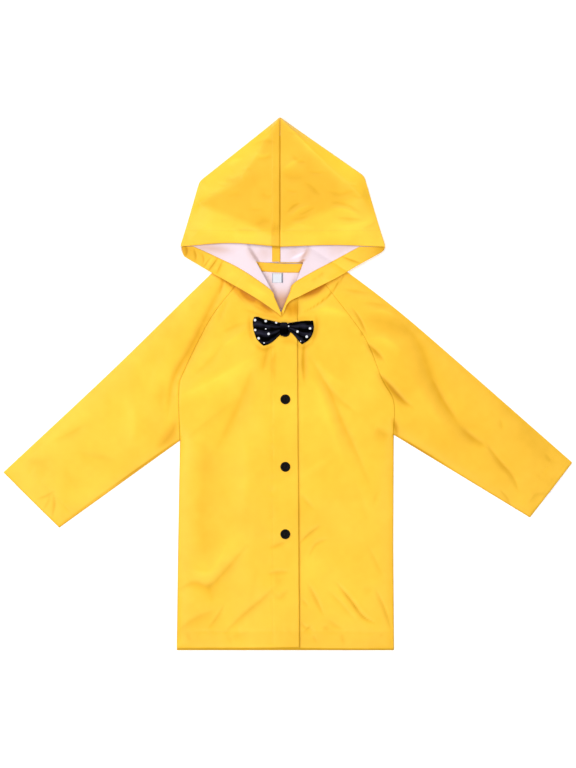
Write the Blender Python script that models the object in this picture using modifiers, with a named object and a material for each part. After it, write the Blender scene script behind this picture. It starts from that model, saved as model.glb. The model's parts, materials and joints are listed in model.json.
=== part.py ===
"""A child's hooded raincoat, laid flat on its back with the front upward.

Tables and sizes are in millimetres, and `mm` turns them into Blender's metres. The origin is the
middle of the coat's outline, on the surface that it lies on. +Y runs from the hem to the hood,
+X to the coat's own left sleeve, and +Z up. Each cloth piece is one wall, `cloth` thick, laid at
the height that the pieces under it leave.
"""

import math

import bmesh
import bpy
from mathutils import Vector

mm = 0.001

# Driving sizes
cloth = 1.0  # wall of a cloth piece
seam_gap = 0.3  # between two pieces at a seam
layer_gap = 0.8  # between a piece and the one that it lies on
floor_mid = cloth / 2  # middle of a wall that lies on the surface
seam_mid = floor_mid + cloth + seam_gap  # middle of the upper wall at a side seam
puff = 1.9  # rise of the upper wall from its seams to its middle
puff_run = 22.0  # distance over which it rises
lap_lift = 3.1  # the lap stands this far over the plain front, round the snaps
lap_run = 78.0  # width over which the lapped front comes down to the plain one
hood_puff = 2.3
hem_band = 24.0  # turned hem of the hood
neck_tape_width = 14.0
seam_tape_width = 12.0
snap_diameter = 15.0
snap_height = 2.6
snap_pitch = 101.0
stud_diameter = 10.0
stud_height = 1.4
front_middle = -4.0  # X of the line of snaps
neck_middle = -15.0  # X of the middle of the neckline
neck_ramp = 14.0  # the hood's lower layer comes down over this distance inside the neck
sleeve_ramp = 45.0  # and over this one beyond the sleeves
hood_middle = -12.0  # X of the hood's centre seam
face_edge = 207.0  # Y of the hood's upper face edge
back_neck = 182.0  # Y of the seam between the back and the hood

# Outline points (x, y): the coat's right side, at -X, and its left side, at +X
outline_points = {
    "hem": ((-167, -397), (159, -398)),
    "armpit": ((-162, -85), (158, -76)),
    "lower raglan": ((-163, -9), (158, -27)),
    "bust": ((-156, 18), (140, 10)),
    "mid raglan": ((-118, 96), (115, 70)),
    "upper raglan": ((-82, 144), (67, 135)),
    "neck raglan": ((-51, 186), (27, 187)),
    "neck side": ((-64, 208), (34, 205)),
    "neck slope": ((-24, 140), (13, 154)),
    "neck point": ((-11, 107), (-5, 113)),
    "overarm": ((-261, 23), (262, 27)),
    "cuff top": ((-427, -133), (427, -118)),
    "cuff under": ((-343, -216), (363, -200)),
    "hood peak": ((-13, 400), (-11, 400)),
    "hood shoulder": ((-133, 304), (115, 312)),
    "hood corner": ((-161, 208), (145, 208)),
    "flap corner": ((-157, 192), (142, 195)),
    "flap point": ((-12, 104), (-9, 105)),
    "back neck": ((-47, back_neck), (23, back_neck)),
}
right, left = 0, 1
outward = {right: -1, left: 1}

# Largest folds of the upper cloth: a trough has a positive depth, a ridge a negative one
folds = (
    # start x, y, end x, y, half width, depth
    ((-100, 140), (-176, -20), 13, 0.9),  # beside the right raglan seam
    ((-160, -10), (-50, 40), 16, -0.7),  # ridge across the chest
    ((-46, 26), (-108, -96), 18, 0.8),  # under that ridge
    ((-60, -232), (-150, -306), 16, 0.8),  # above the hem, right front
    ((-28, -312), (-88, -360), 12, 0.7),
    ((40, 20), (122, -144), 15, 0.8),  # long fold of the left front
    ((138, 14), (182, -32), 10, 0.9),  # strong crease of the left sleeve
    ((164, 96), (290, -88), 16, 0.8),  # along the left sleeve
    ((80, -304), (116, -352), 9, 0.8),  # lower corner of the left front
    ((-360, -92), (-312, -64), 12, 0.6),  # right sleeve
)


def point(name, side):
    return Vector(outline_points[name][side])


def chain(side, *names):
    return [point(name, side) for name in names]


def smooth_step(value):
    value = min(1.0, max(0.0, value))
    return value * value * (3 - 2 * value)


def distance_to_run(spot, start, end):
    """How far spot is from the straight run, and where along it the nearest point is, 0 to 1."""
    run = end - start
    along = min(1.0, max(0.0, (spot - start).dot(run) / run.length_squared))
    return (spot - start - run * along).length, along


def depth_inside(spot, outline):
    """Distance from spot to the closed outline, negative outside it."""
    nearest = math.inf
    crossings = 0
    for start, end in zip(outline, outline[1:] + outline[:1]):
        nearest = min(nearest, distance_to_run(spot, start, end)[0])
        if (start.y > spot.y) != (end.y > spot.y):
            crossing = start.x + (end.x - start.x) * (spot.y - start.y) / (end.y - start.y)
            crossings += spot.x < crossing
    return nearest if crossings % 2 else -nearest


half_names = ("neck side", "overarm", "cuff top", "cuff under", "armpit", "hem")
coat_outline = chain(right, *half_names) + chain(left, *reversed(half_names))
neck_notch = chain(left, "neck slope", "neck point") + chain(right, "neck point", "neck slope")
notched_outline = coat_outline + neck_notch
hood_names = ("hood shoulder", "hood corner", "flap corner")
hood_outline = chain(right, "hood peak", *hood_names) + chain(left, *reversed(hood_names))


def fold_depth(spot):
    depth = 0.0
    for start, end, half_width, deepest in folds:
        away, along = distance_to_run(spot, Vector(start), Vector(end))
        tapered = smooth_step(4 * min(along, 1 - along) + 0.3)
        depth += deepest * tapered * math.exp(-((away / half_width) ** 2))
    return depth


def plain_height(spot):
    """Middle of the upper wall of the body and sleeves, where nothing laps over."""
    rise = 1 - math.exp(-max(0.0, depth_inside(spot, coat_outline)) / puff_run)
    return seam_mid + rise * (puff - fold_depth(spot))


lap_edge = ((18, -395), (14, 54), (15, 130))  # free edge of the lapped front, hem to top
stitch_line = -24.0  # X of the lap's inner stitch line


def lapped_height(spot):
    """Middle of the front that laps over the other."""
    return plain_height(spot) + lap_lift * smooth_step((spot.x - stitch_line) / lap_run + 1)


def top_height(spot):
    """Middle of whichever front or sleeve is uppermost here."""
    past_lap = smooth_step((spot.x - lap_edge[-1][0]) / 30)
    return lapped_height(spot) * (1 - past_lap) + plain_height(spot) * past_lap


def hood_under_height(spot):
    """Middle of the hood's lower layer: on the surface, and over the sleeves and fronts."""
    beside_neck = smooth_step((abs(spot.x - neck_middle) - 40) / 40)
    ramp = neck_ramp + (sleeve_ramp - neck_ramp) * beside_neck
    over_coat = smooth_step(1.3 + depth_inside(spot, notched_outline) / ramp)
    lift = top_height(spot) + cloth + layer_gap - floor_mid
    return floor_mid + over_coat * lift


def hood_upper_height(spot):
    """Middle of the hood's upper layer, over the lower one."""
    rise = 1 - math.exp(-max(0.0, depth_inside(spot, hood_outline)) / puff_run)
    return hood_under_height(spot) + cloth + seam_gap + 0.3 + hood_puff * rise


def flat_height(spot):
    return floor_mid


# Blender objects

surface_materials = {
    # name: (colour, roughness)
    "coated yellow": ((1.0, 0.65, 0.035), 0.42),
    "turned hem yellow": ((1.0, 0.62, 0.03), 0.42),
    "seam tape": ((0.95, 0.58, 0.04), 0.55),
    "label white": ((0.9, 0.9, 0.92), 0.6),
    "snap plastic": ((0.012, 0.01, 0.01), 0.3),
    "dotted navy": ((0.01, 0.01, 0.035), 0.6),
}


def principled(name):
    colour, roughness = surface_materials[name]
    material = bpy.data.materials.new(name)
    material.use_nodes = True
    shader = material.node_tree.nodes["Principled BSDF"]
    shader.inputs["Base Color"].default_value = (*colour, 1)
    shader.inputs["Roughness"].default_value = roughness
    shader.inputs["Metallic"].default_value = 0
    material.diffuse_color = (*colour, 1)
    return material


def clear_scene():
    for thing in list(bpy.data.objects):
        bpy.data.objects.remove(thing, do_unlink=True)


def add_object(name, mesh, material):
    thing = bpy.data.objects.new(name, mesh)
    thing.data.materials.append(principled(material))
    coat.objects.link(thing)
    return thing


def walled(name, grid, material):
    """Makes the open grid of points in mm an object, and gives it its wall by Solidify."""
    bmesh.ops.scale(grid, vec=(mm, mm, mm), verts=grid.verts)
    bmesh.ops.recalc_face_normals(grid, faces=grid.faces)
    mesh = bpy.data.meshes.new(name)
    grid.to_mesh(mesh)
    grid.free()
    mesh.shade_smooth()
    thing = add_object(name, mesh, material)
    wall = thing.modifiers.new("wall", "SOLIDIFY")
    wall.thickness = cloth * mm
    wall.offset = 0
    wall.use_even_offset = True


def sheet(name, columns, rows, place, material):
    """A grid placed by place(across, along), both shares from 0 to 1."""
    grid = bmesh.new()
    bmesh.ops.create_grid(grid, x_segments=columns, y_segments=rows, size=0.5)
    for corner in grid.verts:
        corner.co = place(corner.co.x + 0.5, corner.co.y + 0.5)
    walled(name, grid, material)


def panel(name, lower, upper, first, last, columns, rows, height):
    """A sheet between four chains of points: hem, top, and the two sides from hem to top."""
    grid = bmesh.new()
    bmesh.ops.create_grid(grid, x_segments=columns, y_segments=rows, size=0.5)
    place = four_sided(lower, upper, first, last, columns, rows)
    for corner in grid.verts:
        corner.co = place(corner.co.x + 0.5, corner.co.y + 0.5)
    inner = [corner for corner in grid.verts if not corner.is_boundary]
    for _ in range(200):
        bmesh.ops.smooth_vert(
            grid, verts=inner, factor=0.5, use_axis_x=True, use_axis_y=True, use_axis_z=True
        )
    for corner in grid.verts:
        corner.co.z = height(corner.co.to_2d())
    walled(name, grid, "coated yellow")


def share_chain(stations):
    """A function of the share along, through (share, point) stations."""

    def at(share):
        for (first_share, first), (last_share, last) in zip(stations, stations[1:]):
            if share <= last_share:
                return first.lerp(last, (share - first_share) / (last_share - first_share))
        return stations[-1][1]

    return at


def spread(points, steps, start=0.0, end=1.0):
    """Stations for share_chain along the points, with a grid line through each corner."""
    runs = [(last - first).length for first, last in zip(points, points[1:])]
    counts = [max(1, round(steps * run / sum(runs))) for run in runs]
    while sum(counts) != steps:
        change = 1 if sum(counts) < steps else -1
        uneven = [run / count for run, count in zip(runs, counts)]
        worst = uneven.index(max(uneven) if change > 0 else min(
            length for length, count in zip(uneven, counts) if count > 1
        ))
        counts[worst] += change
    shares = [start + (end - start) * sum(counts[:index]) / steps for index in range(len(points))]
    return list(zip(shares, points))


def four_sided(lower, upper, first, last, columns, rows):
    """A first even spread of a panel's grid between its four chains."""
    bottom_at, top_at = (share_chain(spread(chain_, columns)) for chain_ in (lower, upper))
    start_at, end_at = (share_chain(spread(chain_, rows)) for chain_ in (first, last))

    def place(across, along):
        bottom, top = bottom_at(across), top_at(across)
        ruled = bottom.lerp(top, along) + start_at(along).lerp(end_at(along), across)
        corners = lower[0].lerp(lower[-1], across).lerp(upper[0].lerp(upper[-1], across), along)
        return (ruled - corners).to_3d()

    return place


def folded(under_chain, fold_chain, upper_chain, under_height, upper_height, turn_share=0.12):
    """place() for a piece folded along one edge: lower layer, round fold, upper layer.

    Each chain is a function of the share along the fold. The share across runs from the lower
    layer's free edge through the fold to the upper layer's."""

    def place(across, along):
        under, fold, upper = under_chain(along), fold_chain(along), upper_chain(along)
        inward = (upper.lerp(under, 0.5) - fold).normalized()
        reach = fold + inward * cloth
        radius = (upper_height(reach) - under_height(reach)) / 2
        turn = fold + inward * (radius + cloth / 2)
        half = (1 - turn_share) / 2
        if across <= half:
            spot = under.lerp(turn, across / half)
            return Vector((spot.x, spot.y, under_height(spot)))
        if across >= 1 - half:
            spot = turn.lerp(upper, (across - 1 + half) / half)
            return Vector((spot.x, spot.y, upper_height(spot)))
        angle = math.pi * (across - half) / turn_share
        spot = turn - inward * radius * math.sin(angle)
        middle = under_height(turn) + radius
        return Vector((spot.x, spot.y, middle - radius * math.cos(angle)))

    return place


def drawn_in(chain_function, toward, by=2 * seam_gap):
    """The same chain, moved towards another one so that the seams beside it stay open."""

    def at(share):
        spot = chain_function(share)
        return spot + (toward(share) - spot).normalized() * by

    return at


raglan_names = ("bust", "mid raglan", "upper raglan")


def make_back():
    neck = chain(right, "back neck") + chain(left, "back neck")
    upper = chain(right, *raglan_names) + neck + chain(left, *reversed(raglan_names))
    lower = [point("hem", right) + Vector((0, -3)), point("hem", left) + Vector((0, -2))]
    side_names = ("armpit", "lower raglan", "bust")
    first = [lower[0]] + chain(right, *side_names)
    last = [lower[1]] + chain(left, *side_names)
    panel("back_panel", lower, upper, first, last, 14, 12, flat_height)


def make_lapped_front():
    lap = [Vector(spot) for spot in lap_edge]
    first = chain(right, "hem", "armpit", "lower raglan", "bust")
    neck = chain(right, "neck raglan", "neck slope", "neck point")
    upper = chain(right, *raglan_names) + neck + [Vector((0, 126)), lap[-1]]
    lower = [first[0], lap[0]]
    panel("front_right_lap", lower, upper, first, lap, 14, 18, lapped_height)


def make_plain_front():
    last = chain(left, "hem", "armpit", "lower raglan", "bust")
    neck = chain(left, "neck point", "neck slope", "neck raglan")
    under_edge = [Vector((stitch_line, -396)), Vector((stitch_line, 92))]
    upper = [under_edge[-1]] + neck + chain(left, *reversed(raglan_names))
    lower = [under_edge[0], last[0]]
    panel("front_left", lower, upper, under_edge, last, 14, 18, plain_height)


def make_sleeve(side, name):
    """From the neck to the armpit the layers end at the raglan seam, then at the underarm seam."""
    rows, raglan_rows = 16, 10
    armpit_share = raglan_rows / rows
    fold = share_chain(
        (
            (0.0, point("neck side", side) + Vector((0, -2))),
            (armpit_share, point("overarm", side)),
            (1.0, point("cuff top", side)),
        )
    )
    raglan = chain(side, "neck raglan", *reversed(raglan_names), "lower raglan", "armpit")
    stations = spread(raglan, raglan_rows, 0.0, armpit_share)
    edge = drawn_in(share_chain(stations + [(1.0, point("cuff under", side))]), fold)
    place = folded(edge, fold, edge, flat_height, plain_height)
    sheet(name, 16, rows, place, "coated yellow")


hood_rows = 24


def hood_rails(side):
    """A hood half's edges from its peak to its face edge: inner, fold and centre of the top."""
    middle = hood_middle + outward[side] * seam_gap / 2
    fold = share_chain(
        (
            (0.0, point("hood peak", side) + Vector((outward[side] * 2, 0))),
            (10 / hood_rows, point("hood shoulder", side)),
            ((hood_rows - 1) / hood_rows, point("hood corner", side)),
            (1.0, point("flap corner", side).lerp(point("hood corner", side), 0.4)),
        )
    )
    inner = share_chain(
        (
            (0.0, Vector((middle, 394))),
            (8 / hood_rows, Vector((middle, 282))),
            (14 / hood_rows, Vector((middle, back_neck + seam_gap))),
            (18 / hood_rows, point("back neck", side) + Vector((0, seam_gap))),
            (21 / hood_rows, point("neck slope", side)),
            (1.0, point("flap point", side)),
        )
    )
    centre = share_chain(((0.0, Vector((middle, 397))), (1.0, Vector((middle, face_edge)))))
    return inner, fold, centre


def make_hood(side, name):
    inner, fold, centre = hood_rails(side)
    place = folded(inner, fold, centre, hood_under_height, hood_upper_height)
    sheet(name, 16, hood_rows, place, "coated yellow")


def make_flap_hem(side, name):
    """The turned hem of the hood's face edge, where the flap shows the hood's inner side."""
    corner = point("flap corner", side) - Vector((outward[side] * 6, 0))
    tip = point("flap point", side) + Vector((outward[side] * 3, 5))
    along_flap = (tip - corner).normalized()
    inward = Vector((-along_flap.y, along_flap.x)) * -outward[side]
    full = (tip - corner).length
    widths = ((0, 4), (32, hem_band), (full - 34, hem_band), (full - 8, 9), (full, 3))
    width_at = share_chain([(reach / full, inward * width) for reach, width in widths])

    def place(across, along):
        spot = corner.lerp(tip, across) + width_at(across) * along
        return Vector((spot.x, spot.y, hood_under_height(spot) + cloth + layer_gap))

    sheet(name, 18, 2, place, "turned hem yellow")


def make_strip(name, low_corner, high_corner, rows, material, height=None):
    """A rectangular piece sewn on the cloth that lies on the surface."""
    low = Vector(low_corner)
    size = Vector(high_corner) - low

    def place(across, along):
        spot = low + Vector((size.x * across, size.y * along))
        under = height(spot) if height else floor_mid
        return Vector((spot.x, spot.y, under + cloth + seam_gap))

    sheet(name, 2, rows, place, material)


def make_tapes_and_label():
    neck_high = back_neck - seam_gap
    neck_low = neck_high - neck_tape_width
    make_strip("neck_tape", (-43, neck_low), (19, neck_high), 1, "seam tape")
    low_corner = (hood_middle - seam_tape_width, back_neck + 4)
    high_corner = (hood_middle, 372)
    make_strip("hood_seam_tape", low_corner, high_corner, 12, "seam tape", hood_under_height)
    label_width, label_height = 16, 14
    label_high = neck_low - seam_gap
    label_left = hood_middle - label_width + 4
    low_corner = (label_left, label_high - label_height)
    make_strip("size_label", low_corner, (label_left + label_width, label_high), 1, "label white")


def turned(name, profile, centre, base, material, steps=16):
    """A round piece from its profile of (radius, height), top to bottom, standing at base."""
    mesh = bpy.data.meshes.new(name)
    outline = bmesh.new()
    corners = [outline.verts.new((radius * mm, 0, height * mm)) for radius, height in profile]
    for first, last in zip(corners, corners[1:]):
        outline.edges.new((first, last))
    outline.to_mesh(mesh)
    outline.free()
    thing = add_object(name, mesh, material)
    thing.location = Vector((centre[0], centre[1], base)) * mm
    turn = thing.modifiers.new("turn", "SCREW")
    turn.axis = "Z"
    turn.steps = turn.render_steps = steps
    turn.use_merge_vertices = True
    turn.merge_threshold = 0.00001


def make_snaps():
    radius = snap_diameter / 2
    cap = (
        (0, snap_height - 1.0),
        (radius * 0.45, snap_height - 1.0),
        (radius * 0.62, snap_height - 0.1),
        (radius * 0.8, snap_height),
        (radius, snap_height * 0.45),
        (radius, 0),
        (0, 0),
    )
    stud = ((0, stud_height), (stud_diameter / 2, stud_height), (stud_diameter / 2, 0), (0, 0))
    for number in range(4):
        spot = Vector((front_middle, 78 - snap_pitch * number))
        on_lap = lapped_height(spot) + cloth / 2 + seam_gap
        turned(f"snap_cap_{number + 1}", cap, spot, on_lap, "snap plastic")
        under_lap = plain_height(spot) + cloth / 2 + seam_gap + 0.1
        turned(f"snap_stud_{number + 1}", stud, spot, under_lap, "snap plastic", 12)


bow_middle = Vector((front_middle, 84))
bow_base = lapped_height(bow_middle) + cloth / 2 + 2 * seam_gap

bow_sections = {
    # distance from the knot: (Y of the lower edge, Y of the upper edge, thickness)
    right: ((8, 77, 91, 3.5), (15, 68, 94, 5), (25, 59, 98, 6.5), (44, 73, 101, 5), (47, 80, 99, 3)),
    left: ((8, 77, 91, 3.5), (15, 68, 93, 5), (24, 61, 94, 6.5), (39, 71, 95, 5), (42, 76, 94, 3)),
}


def make_bow_wing(side, name):
    """A closed soft loop from flattened round sections, narrow at the knot."""
    body = bmesh.new()
    around = 12
    rings = []
    for reach, low, high, thick in bow_sections[side]:
        ring = []
        for step in range(around):
            angle = 2 * math.pi * step / around
            x = front_middle + outward[side] * reach
            y = (low + high) / 2 + math.cos(angle) * (high - low) / 2
            z = bow_base + thick / 2 + math.sin(angle) * thick / 2
            ring.append(body.verts.new(Vector((x, y, z)) * mm))
        rings.append(ring)
    for inner, outer in zip(rings, rings[1:]):
        for step in range(around):
            turn = (step + 1) % around
            body.faces.new((inner[step], inner[turn], outer[turn], outer[step]))
    body.faces.new(rings[0])
    body.faces.new(rings[-1])
    bmesh.ops.recalc_face_normals(body, faces=body.faces)
    mesh = bpy.data.meshes.new(name)
    body.to_mesh(mesh)
    body.free()
    add_object(name, mesh, "dotted navy")


def make_bow():
    make_bow_wing(right, "bow_wing_right")
    make_bow_wing(left, "bow_wing_left")
    knot = bmesh.new()
    bmesh.ops.create_cube(knot, size=1)
    knot_width, knot_length, knot_height = 15, 15, 6
    for corner in knot.verts:
        scaled = (corner.co.x * knot_width, corner.co.y * knot_length, corner.co.z * knot_height)
        middle = bow_middle.to_3d()
        middle.z = bow_base + snap_height + knot_height / 2
        corner.co = (Vector(scaled) + middle) * mm
    mesh = bpy.data.meshes.new("bow_knot")
    knot.to_mesh(mesh)
    knot.free()
    thing = add_object("bow_knot", mesh, "dotted navy")
    rounding = thing.modifiers.new("rounding", "BEVEL")
    rounding.width = 2 * mm
    rounding.segments = 2


clear_scene()
coat = bpy.data.collections.new("kids raincoat")
bpy.context.scene.collection.children.link(coat)
make_back()
make_plain_front()
make_lapped_front()
make_sleeve(right, "sleeve_right")
make_sleeve(left, "sleeve_left")
make_hood(right, "hood_right")
make_hood(left, "hood_left")
make_flap_hem(right, "hood_hem_right")
make_flap_hem(left, "hood_hem_left")
make_tapes_and_label()
make_snaps()
make_bow()
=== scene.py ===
import json
import math

import bpy
import bmesh
import mathutils
import numpy as np
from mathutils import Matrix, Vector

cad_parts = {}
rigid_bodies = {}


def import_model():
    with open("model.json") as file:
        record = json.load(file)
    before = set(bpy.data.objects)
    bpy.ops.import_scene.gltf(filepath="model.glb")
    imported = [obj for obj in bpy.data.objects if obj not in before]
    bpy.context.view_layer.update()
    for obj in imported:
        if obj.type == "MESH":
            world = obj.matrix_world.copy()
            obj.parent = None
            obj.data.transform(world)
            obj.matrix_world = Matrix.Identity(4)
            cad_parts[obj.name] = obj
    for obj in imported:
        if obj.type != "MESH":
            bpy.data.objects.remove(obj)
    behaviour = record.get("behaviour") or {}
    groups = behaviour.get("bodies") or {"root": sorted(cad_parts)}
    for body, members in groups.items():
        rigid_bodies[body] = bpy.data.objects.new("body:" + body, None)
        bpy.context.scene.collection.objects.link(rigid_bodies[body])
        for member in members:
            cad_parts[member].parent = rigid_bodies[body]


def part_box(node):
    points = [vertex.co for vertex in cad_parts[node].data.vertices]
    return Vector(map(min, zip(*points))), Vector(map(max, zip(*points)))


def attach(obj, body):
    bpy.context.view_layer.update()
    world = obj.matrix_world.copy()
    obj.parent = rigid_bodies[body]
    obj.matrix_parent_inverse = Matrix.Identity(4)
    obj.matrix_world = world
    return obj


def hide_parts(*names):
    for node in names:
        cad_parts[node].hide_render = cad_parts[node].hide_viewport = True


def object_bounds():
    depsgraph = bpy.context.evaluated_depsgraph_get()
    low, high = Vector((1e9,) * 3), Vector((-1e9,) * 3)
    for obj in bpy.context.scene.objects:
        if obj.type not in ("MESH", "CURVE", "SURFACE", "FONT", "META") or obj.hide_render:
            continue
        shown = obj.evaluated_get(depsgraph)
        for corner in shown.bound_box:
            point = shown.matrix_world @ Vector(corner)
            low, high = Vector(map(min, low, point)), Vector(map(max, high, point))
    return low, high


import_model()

cadLow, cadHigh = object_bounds()
tableWidth = 854.8  # cuff to cuff, in the tables' millimetres
mm = (cadHigh.x - cadLow.x) / tableWidth  # one table millimetre in metres
print("frame loaded, one table millimetre is", round(mm, 6), "m")


# flat geometry: every point is (x, y) in millimetres from the coat's middle

def smoothStep(value):
    value = np.clip(value, 0, 1)
    return value * value * (3 - 2 * value)


# points at the wanted shares of a chain whose own points stand at the given shares
def atShares(wanted, shares, points):
    return np.stack([np.interp(wanted, shares, points[:, k]) for k in (0, 1)], axis=-1)


def runsOf(chain):
    return np.hypot(*np.diff(np.asarray(chain, float), axis=0).T)


# count + 1 points evenly along the chain
def resample(points, count):
    along = np.concatenate([[0], np.cumsum(runsOf(points))])
    return atShares(np.linspace(0, along[-1], count + 1), along, np.asarray(points, float))


# a smooth chain through every point
def curveThrough(points, fine=12):
    points = np.asarray(points, float)
    padded = np.vstack([2 * points[0] - points[1], points, 2 * points[-1] - points[-2]])
    pieces = []
    for before, start, end, after in zip(padded, padded[1:], padded[2:], padded[3:]):
        t = np.linspace(0, 1, fine, endpoint=False)[:, None]
        pieces.append(0.5 * (2 * start + (end - before) * t
                             + (2 * before - 5 * start + 4 * end - after) * t ** 2
                             + (3 * start - before - 3 * end + after) * t ** 3))
    return np.vstack([*pieces, points[-1:]])


def chainOf(*parts):
    return np.vstack([np.asarray(part, float) for part in parts])


def unit(vectors):
    return vectors / np.maximum(np.hypot(*vectors.T), 1e-6)[:, None]


# the chain round one corner, from cut before it to cut after it
def roundedCorner(before, corner, after, cut, fine=8):
    before, corner, after = (np.asarray(p, float) for p in (before, corner, after))
    start = corner + (before - corner) / np.linalg.norm(before - corner) * cut
    end = corner + (after - corner) / np.linalg.norm(after - corner) * cut
    t = np.linspace(0, 1, fine)[:, None]
    return (1 - t) ** 2 * start + 2 * t * (1 - t) * corner + t ** 2 * end


# a grid of points between four chains, each resampled; rows run from bottom to top
def fourSided(bottom, top, left, right, columns, rows):
    bottom, top = resample(bottom, columns), resample(top, columns)
    left, right = resample(left, rows), resample(right, rows)
    u = np.linspace(0, 1, columns + 1)[None, :, None]
    v = np.linspace(0, 1, rows + 1)[:, None, None]
    ruled = (1 - v) * bottom[None] + v * top[None] + (1 - u) * left[:, None] + u * right[:, None]
    corners = ((1 - v) * ((1 - u) * bottom[0] + u * bottom[-1])
               + v * ((1 - u) * top[0] + u * top[-1]))
    return ruled - corners


# a grid whose rows run straight from one chain to the other
def between(first, last, columns):
    u = np.linspace(0, 1, columns + 1)[None, :, None]
    return first[:, None] * (1 - u) + last[:, None] * u


# distance to the chain, which side of it (+1 on its left), and the share along it
def nearChain(spots, chain):
    chain, runs = np.asarray(chain, float), runsOf(chain)
    starts = np.concatenate([[0], np.cumsum(runs)])
    nearest = np.full(spots.shape[:-1], 1e9)
    side = np.ones(spots.shape[:-1])
    share = np.zeros(spots.shape[:-1])
    for index, (a, b) in enumerate(zip(chain, chain[1:])):
        run = b - a
        t = np.clip(((spots - a) @ run) / max(run @ run, 1e-9), 0, 1)
        off = spots - a - t[..., None] * run
        away = np.hypot(off[..., 0], off[..., 1])
        closer = away < nearest
        nearest = np.where(closer, away, nearest)
        turned = run[0] * off[..., 1] - run[1] * off[..., 0]
        side = np.where(closer, np.where(turned >= 0, 1.0, -1.0), side)
        share = np.where(closer, (starts[index] + t * runs[index]) / starts[-1], share)
    return nearest, side, share


# distance to the nearest of some chains
def awayFrom(spots, *chains):
    return np.min([nearChain(spots, chain)[0] for chain in chains], axis=0)


# two ways to die away with distance: a bell of that width, and a longer tail
def bell(away, width):
    return np.exp(-(away / width) ** 2)


def fade(away, reach):
    return np.exp(-away / reach)


# distance to a closed outline, negative outside it
def insideBy(spots, outline):
    closed = np.vstack([outline, outline[:1]])
    away = awayFrom(spots, closed)
    crossings = np.zeros(spots.shape[:-1], int)
    x, y = spots[..., 0], spots[..., 1]
    for (ax, ay), (bx, by) in zip(closed, closed[1:]):
        if ay == by:
            continue
        crosses = ((ay > y) != (by > y)) & (x < ax + (bx - ax) * (y - ay) / (by - ay))
        crossings += crosses
    return np.where(crossings % 2 == 1, away, -away)


# smooth noise from -1 to 1 with one value for each cell of that many millimetres
def rumple(spots, cell, seed):
    table = np.random.default_rng(seed).uniform(-1, 1, (64, 64))
    x, y = spots[..., 0] / cell + 500, spots[..., 1] / cell + 500
    i, j = np.floor(x).astype(int), np.floor(y).astype(int)
    s, t = smoothStep(x - i), smoothStep(y - j)
    i0, i1, j0, j1 = i % 64, (i + 1) % 64, j % 64, (j + 1) % 64
    low = table[i0, j0] * (1 - s) + table[i1, j0] * s
    high = table[i0, j1] * (1 - s) + table[i1, j1] * s
    return low * (1 - t) + high * t


# rumples of several (height, cell) sizes, each with the next seed
def waves(spots, sizes, seed):
    return sum(height * rumple(spots, cell, seed + k) for k, (height, cell) in enumerate(sizes))


# the coat's outline and seams

coatCut = {  # points of the coat as it lies; right is the wearer's, at -X
    "hem": ((-167.2, -397.4), (158.8, -398.4)),
    "side seam": (((-165, -240), (-162.3, -85)), ((157.6, -240), (158.3, -76))),
    "raglan": (((-162.3, -85), (-164, -9), (-157, 18), (-118, 96), (-82, 144), (-51, 186)),
               ((158.3, -76), (158.6, -27), (140, 10), (115, 70), (67, 135), (27, 187))),
    "neck": (((-64, 208), (-24, 140), (-11, 107)), ((34, 205), (13, 154), (-5, 113))),
    "overarm": (((-64, 205), (-114, 166.8), (-261, 23.2), (-427.3, -132.6)),
                ((34, 204), (90, 167.4), (168, 107.6), (262, 26.8), (426.8, -118))),
    "underarm": (((-162.3, -85), (-343.4, -215.6)), ((158.3, -76), (363.2, -200.4))),
    "lap edge": ((17.7, -395), (16.2, -174), (14.4, 54), (15, 130)),
    "lap stitch": ((-23, -395), (-24, 60)),
}
hoodCut = {
    "peak": (-12, 400),
    "shoulder": ((-133, 304), (114.6, 312)),
    "corner": ((-160.8, 206), (145.4, 205.5)),
    "face edge": (((-12, 205.5), (-87, 211), (-160.8, 206)), ((-12, 205.5), (68, 208), (145.4, 205.5))),
    "free edge": (((-155.5, 191.4), (-114.5, 167.2), (-69.5, 141.6), (-44.5, 126.6), (-19.5, 109.4),
                   (-9.8, 101.5)),
                  ((143, 200), (137.5, 196), (107.6, 179.6), (70.5, 158), (21.9, 133.6), (1, 122.6),
                   (-7.8, 105))),
    "hem edge": (((-142, 206.5), (-107.8, 191), (-69.5, 171.6), (-27, 142), (-19.5, 128), (-10.8, 107.5)),
                 ((107, 206), (70.5, 186.2), (11, 153), (2.6, 138), (-4.9, 120), (-9, 109))),
    "back neck": ((-47, 182), (23, 182)),
    "seam x": -12,
}
wearerRight, wearerLeft = 0, 1
outward = (-1, 1)  # which way along X each side lies


def coat(name, side):
    return np.array(coatCut[name][side], float)


raglanLine = [curveThrough(coatCut["raglan"][side]) for side in (0, 1)]
overarmLine = [curveThrough(coatCut["overarm"][side]) for side in (0, 1)]
coatOutline = chainOf(
    overarmLine[0], [coatCut["underarm"][0][1]], coat("side seam", 0)[::-1], [coat("hem", 0)],
    [coat("hem", 1)], coat("side seam", 1), [coatCut["underarm"][1][1]], overarmLine[1][::-1])
closedEdges = [  # the edges that are seams or folds; the hem and the cuffs are open
    overarmLine[0], overarmLine[1], [overarmLine[0][0], overarmLine[1][0]],
    chainOf([coatCut["underarm"][0][1]], coat("side seam", 0)[::-1], [coat("hem", 0)]),
    chainOf([coatCut["underarm"][1][1]], coat("side seam", 1)[::-1], [coat("hem", 1)])]
neckNotch = chainOf(coat("neck", 1)[1:], coat("neck", 0)[:0:-1])
notchedOutline = chainOf(coatOutline, neckNotch)
hoodOutline = chainOf(
    [hoodCut["peak"]],
    roundedCorner(hoodCut["peak"], hoodCut["shoulder"][0], hoodCut["corner"][0], 7),
    [hoodCut["corner"][0]], hoodCut["free edge"][0], hoodCut["free edge"][1][::-1],
    [hoodCut["corner"][1]],
    roundedCorner(hoodCut["corner"][1], hoodCut["shoulder"][1], hoodCut["peak"], 7))
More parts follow.
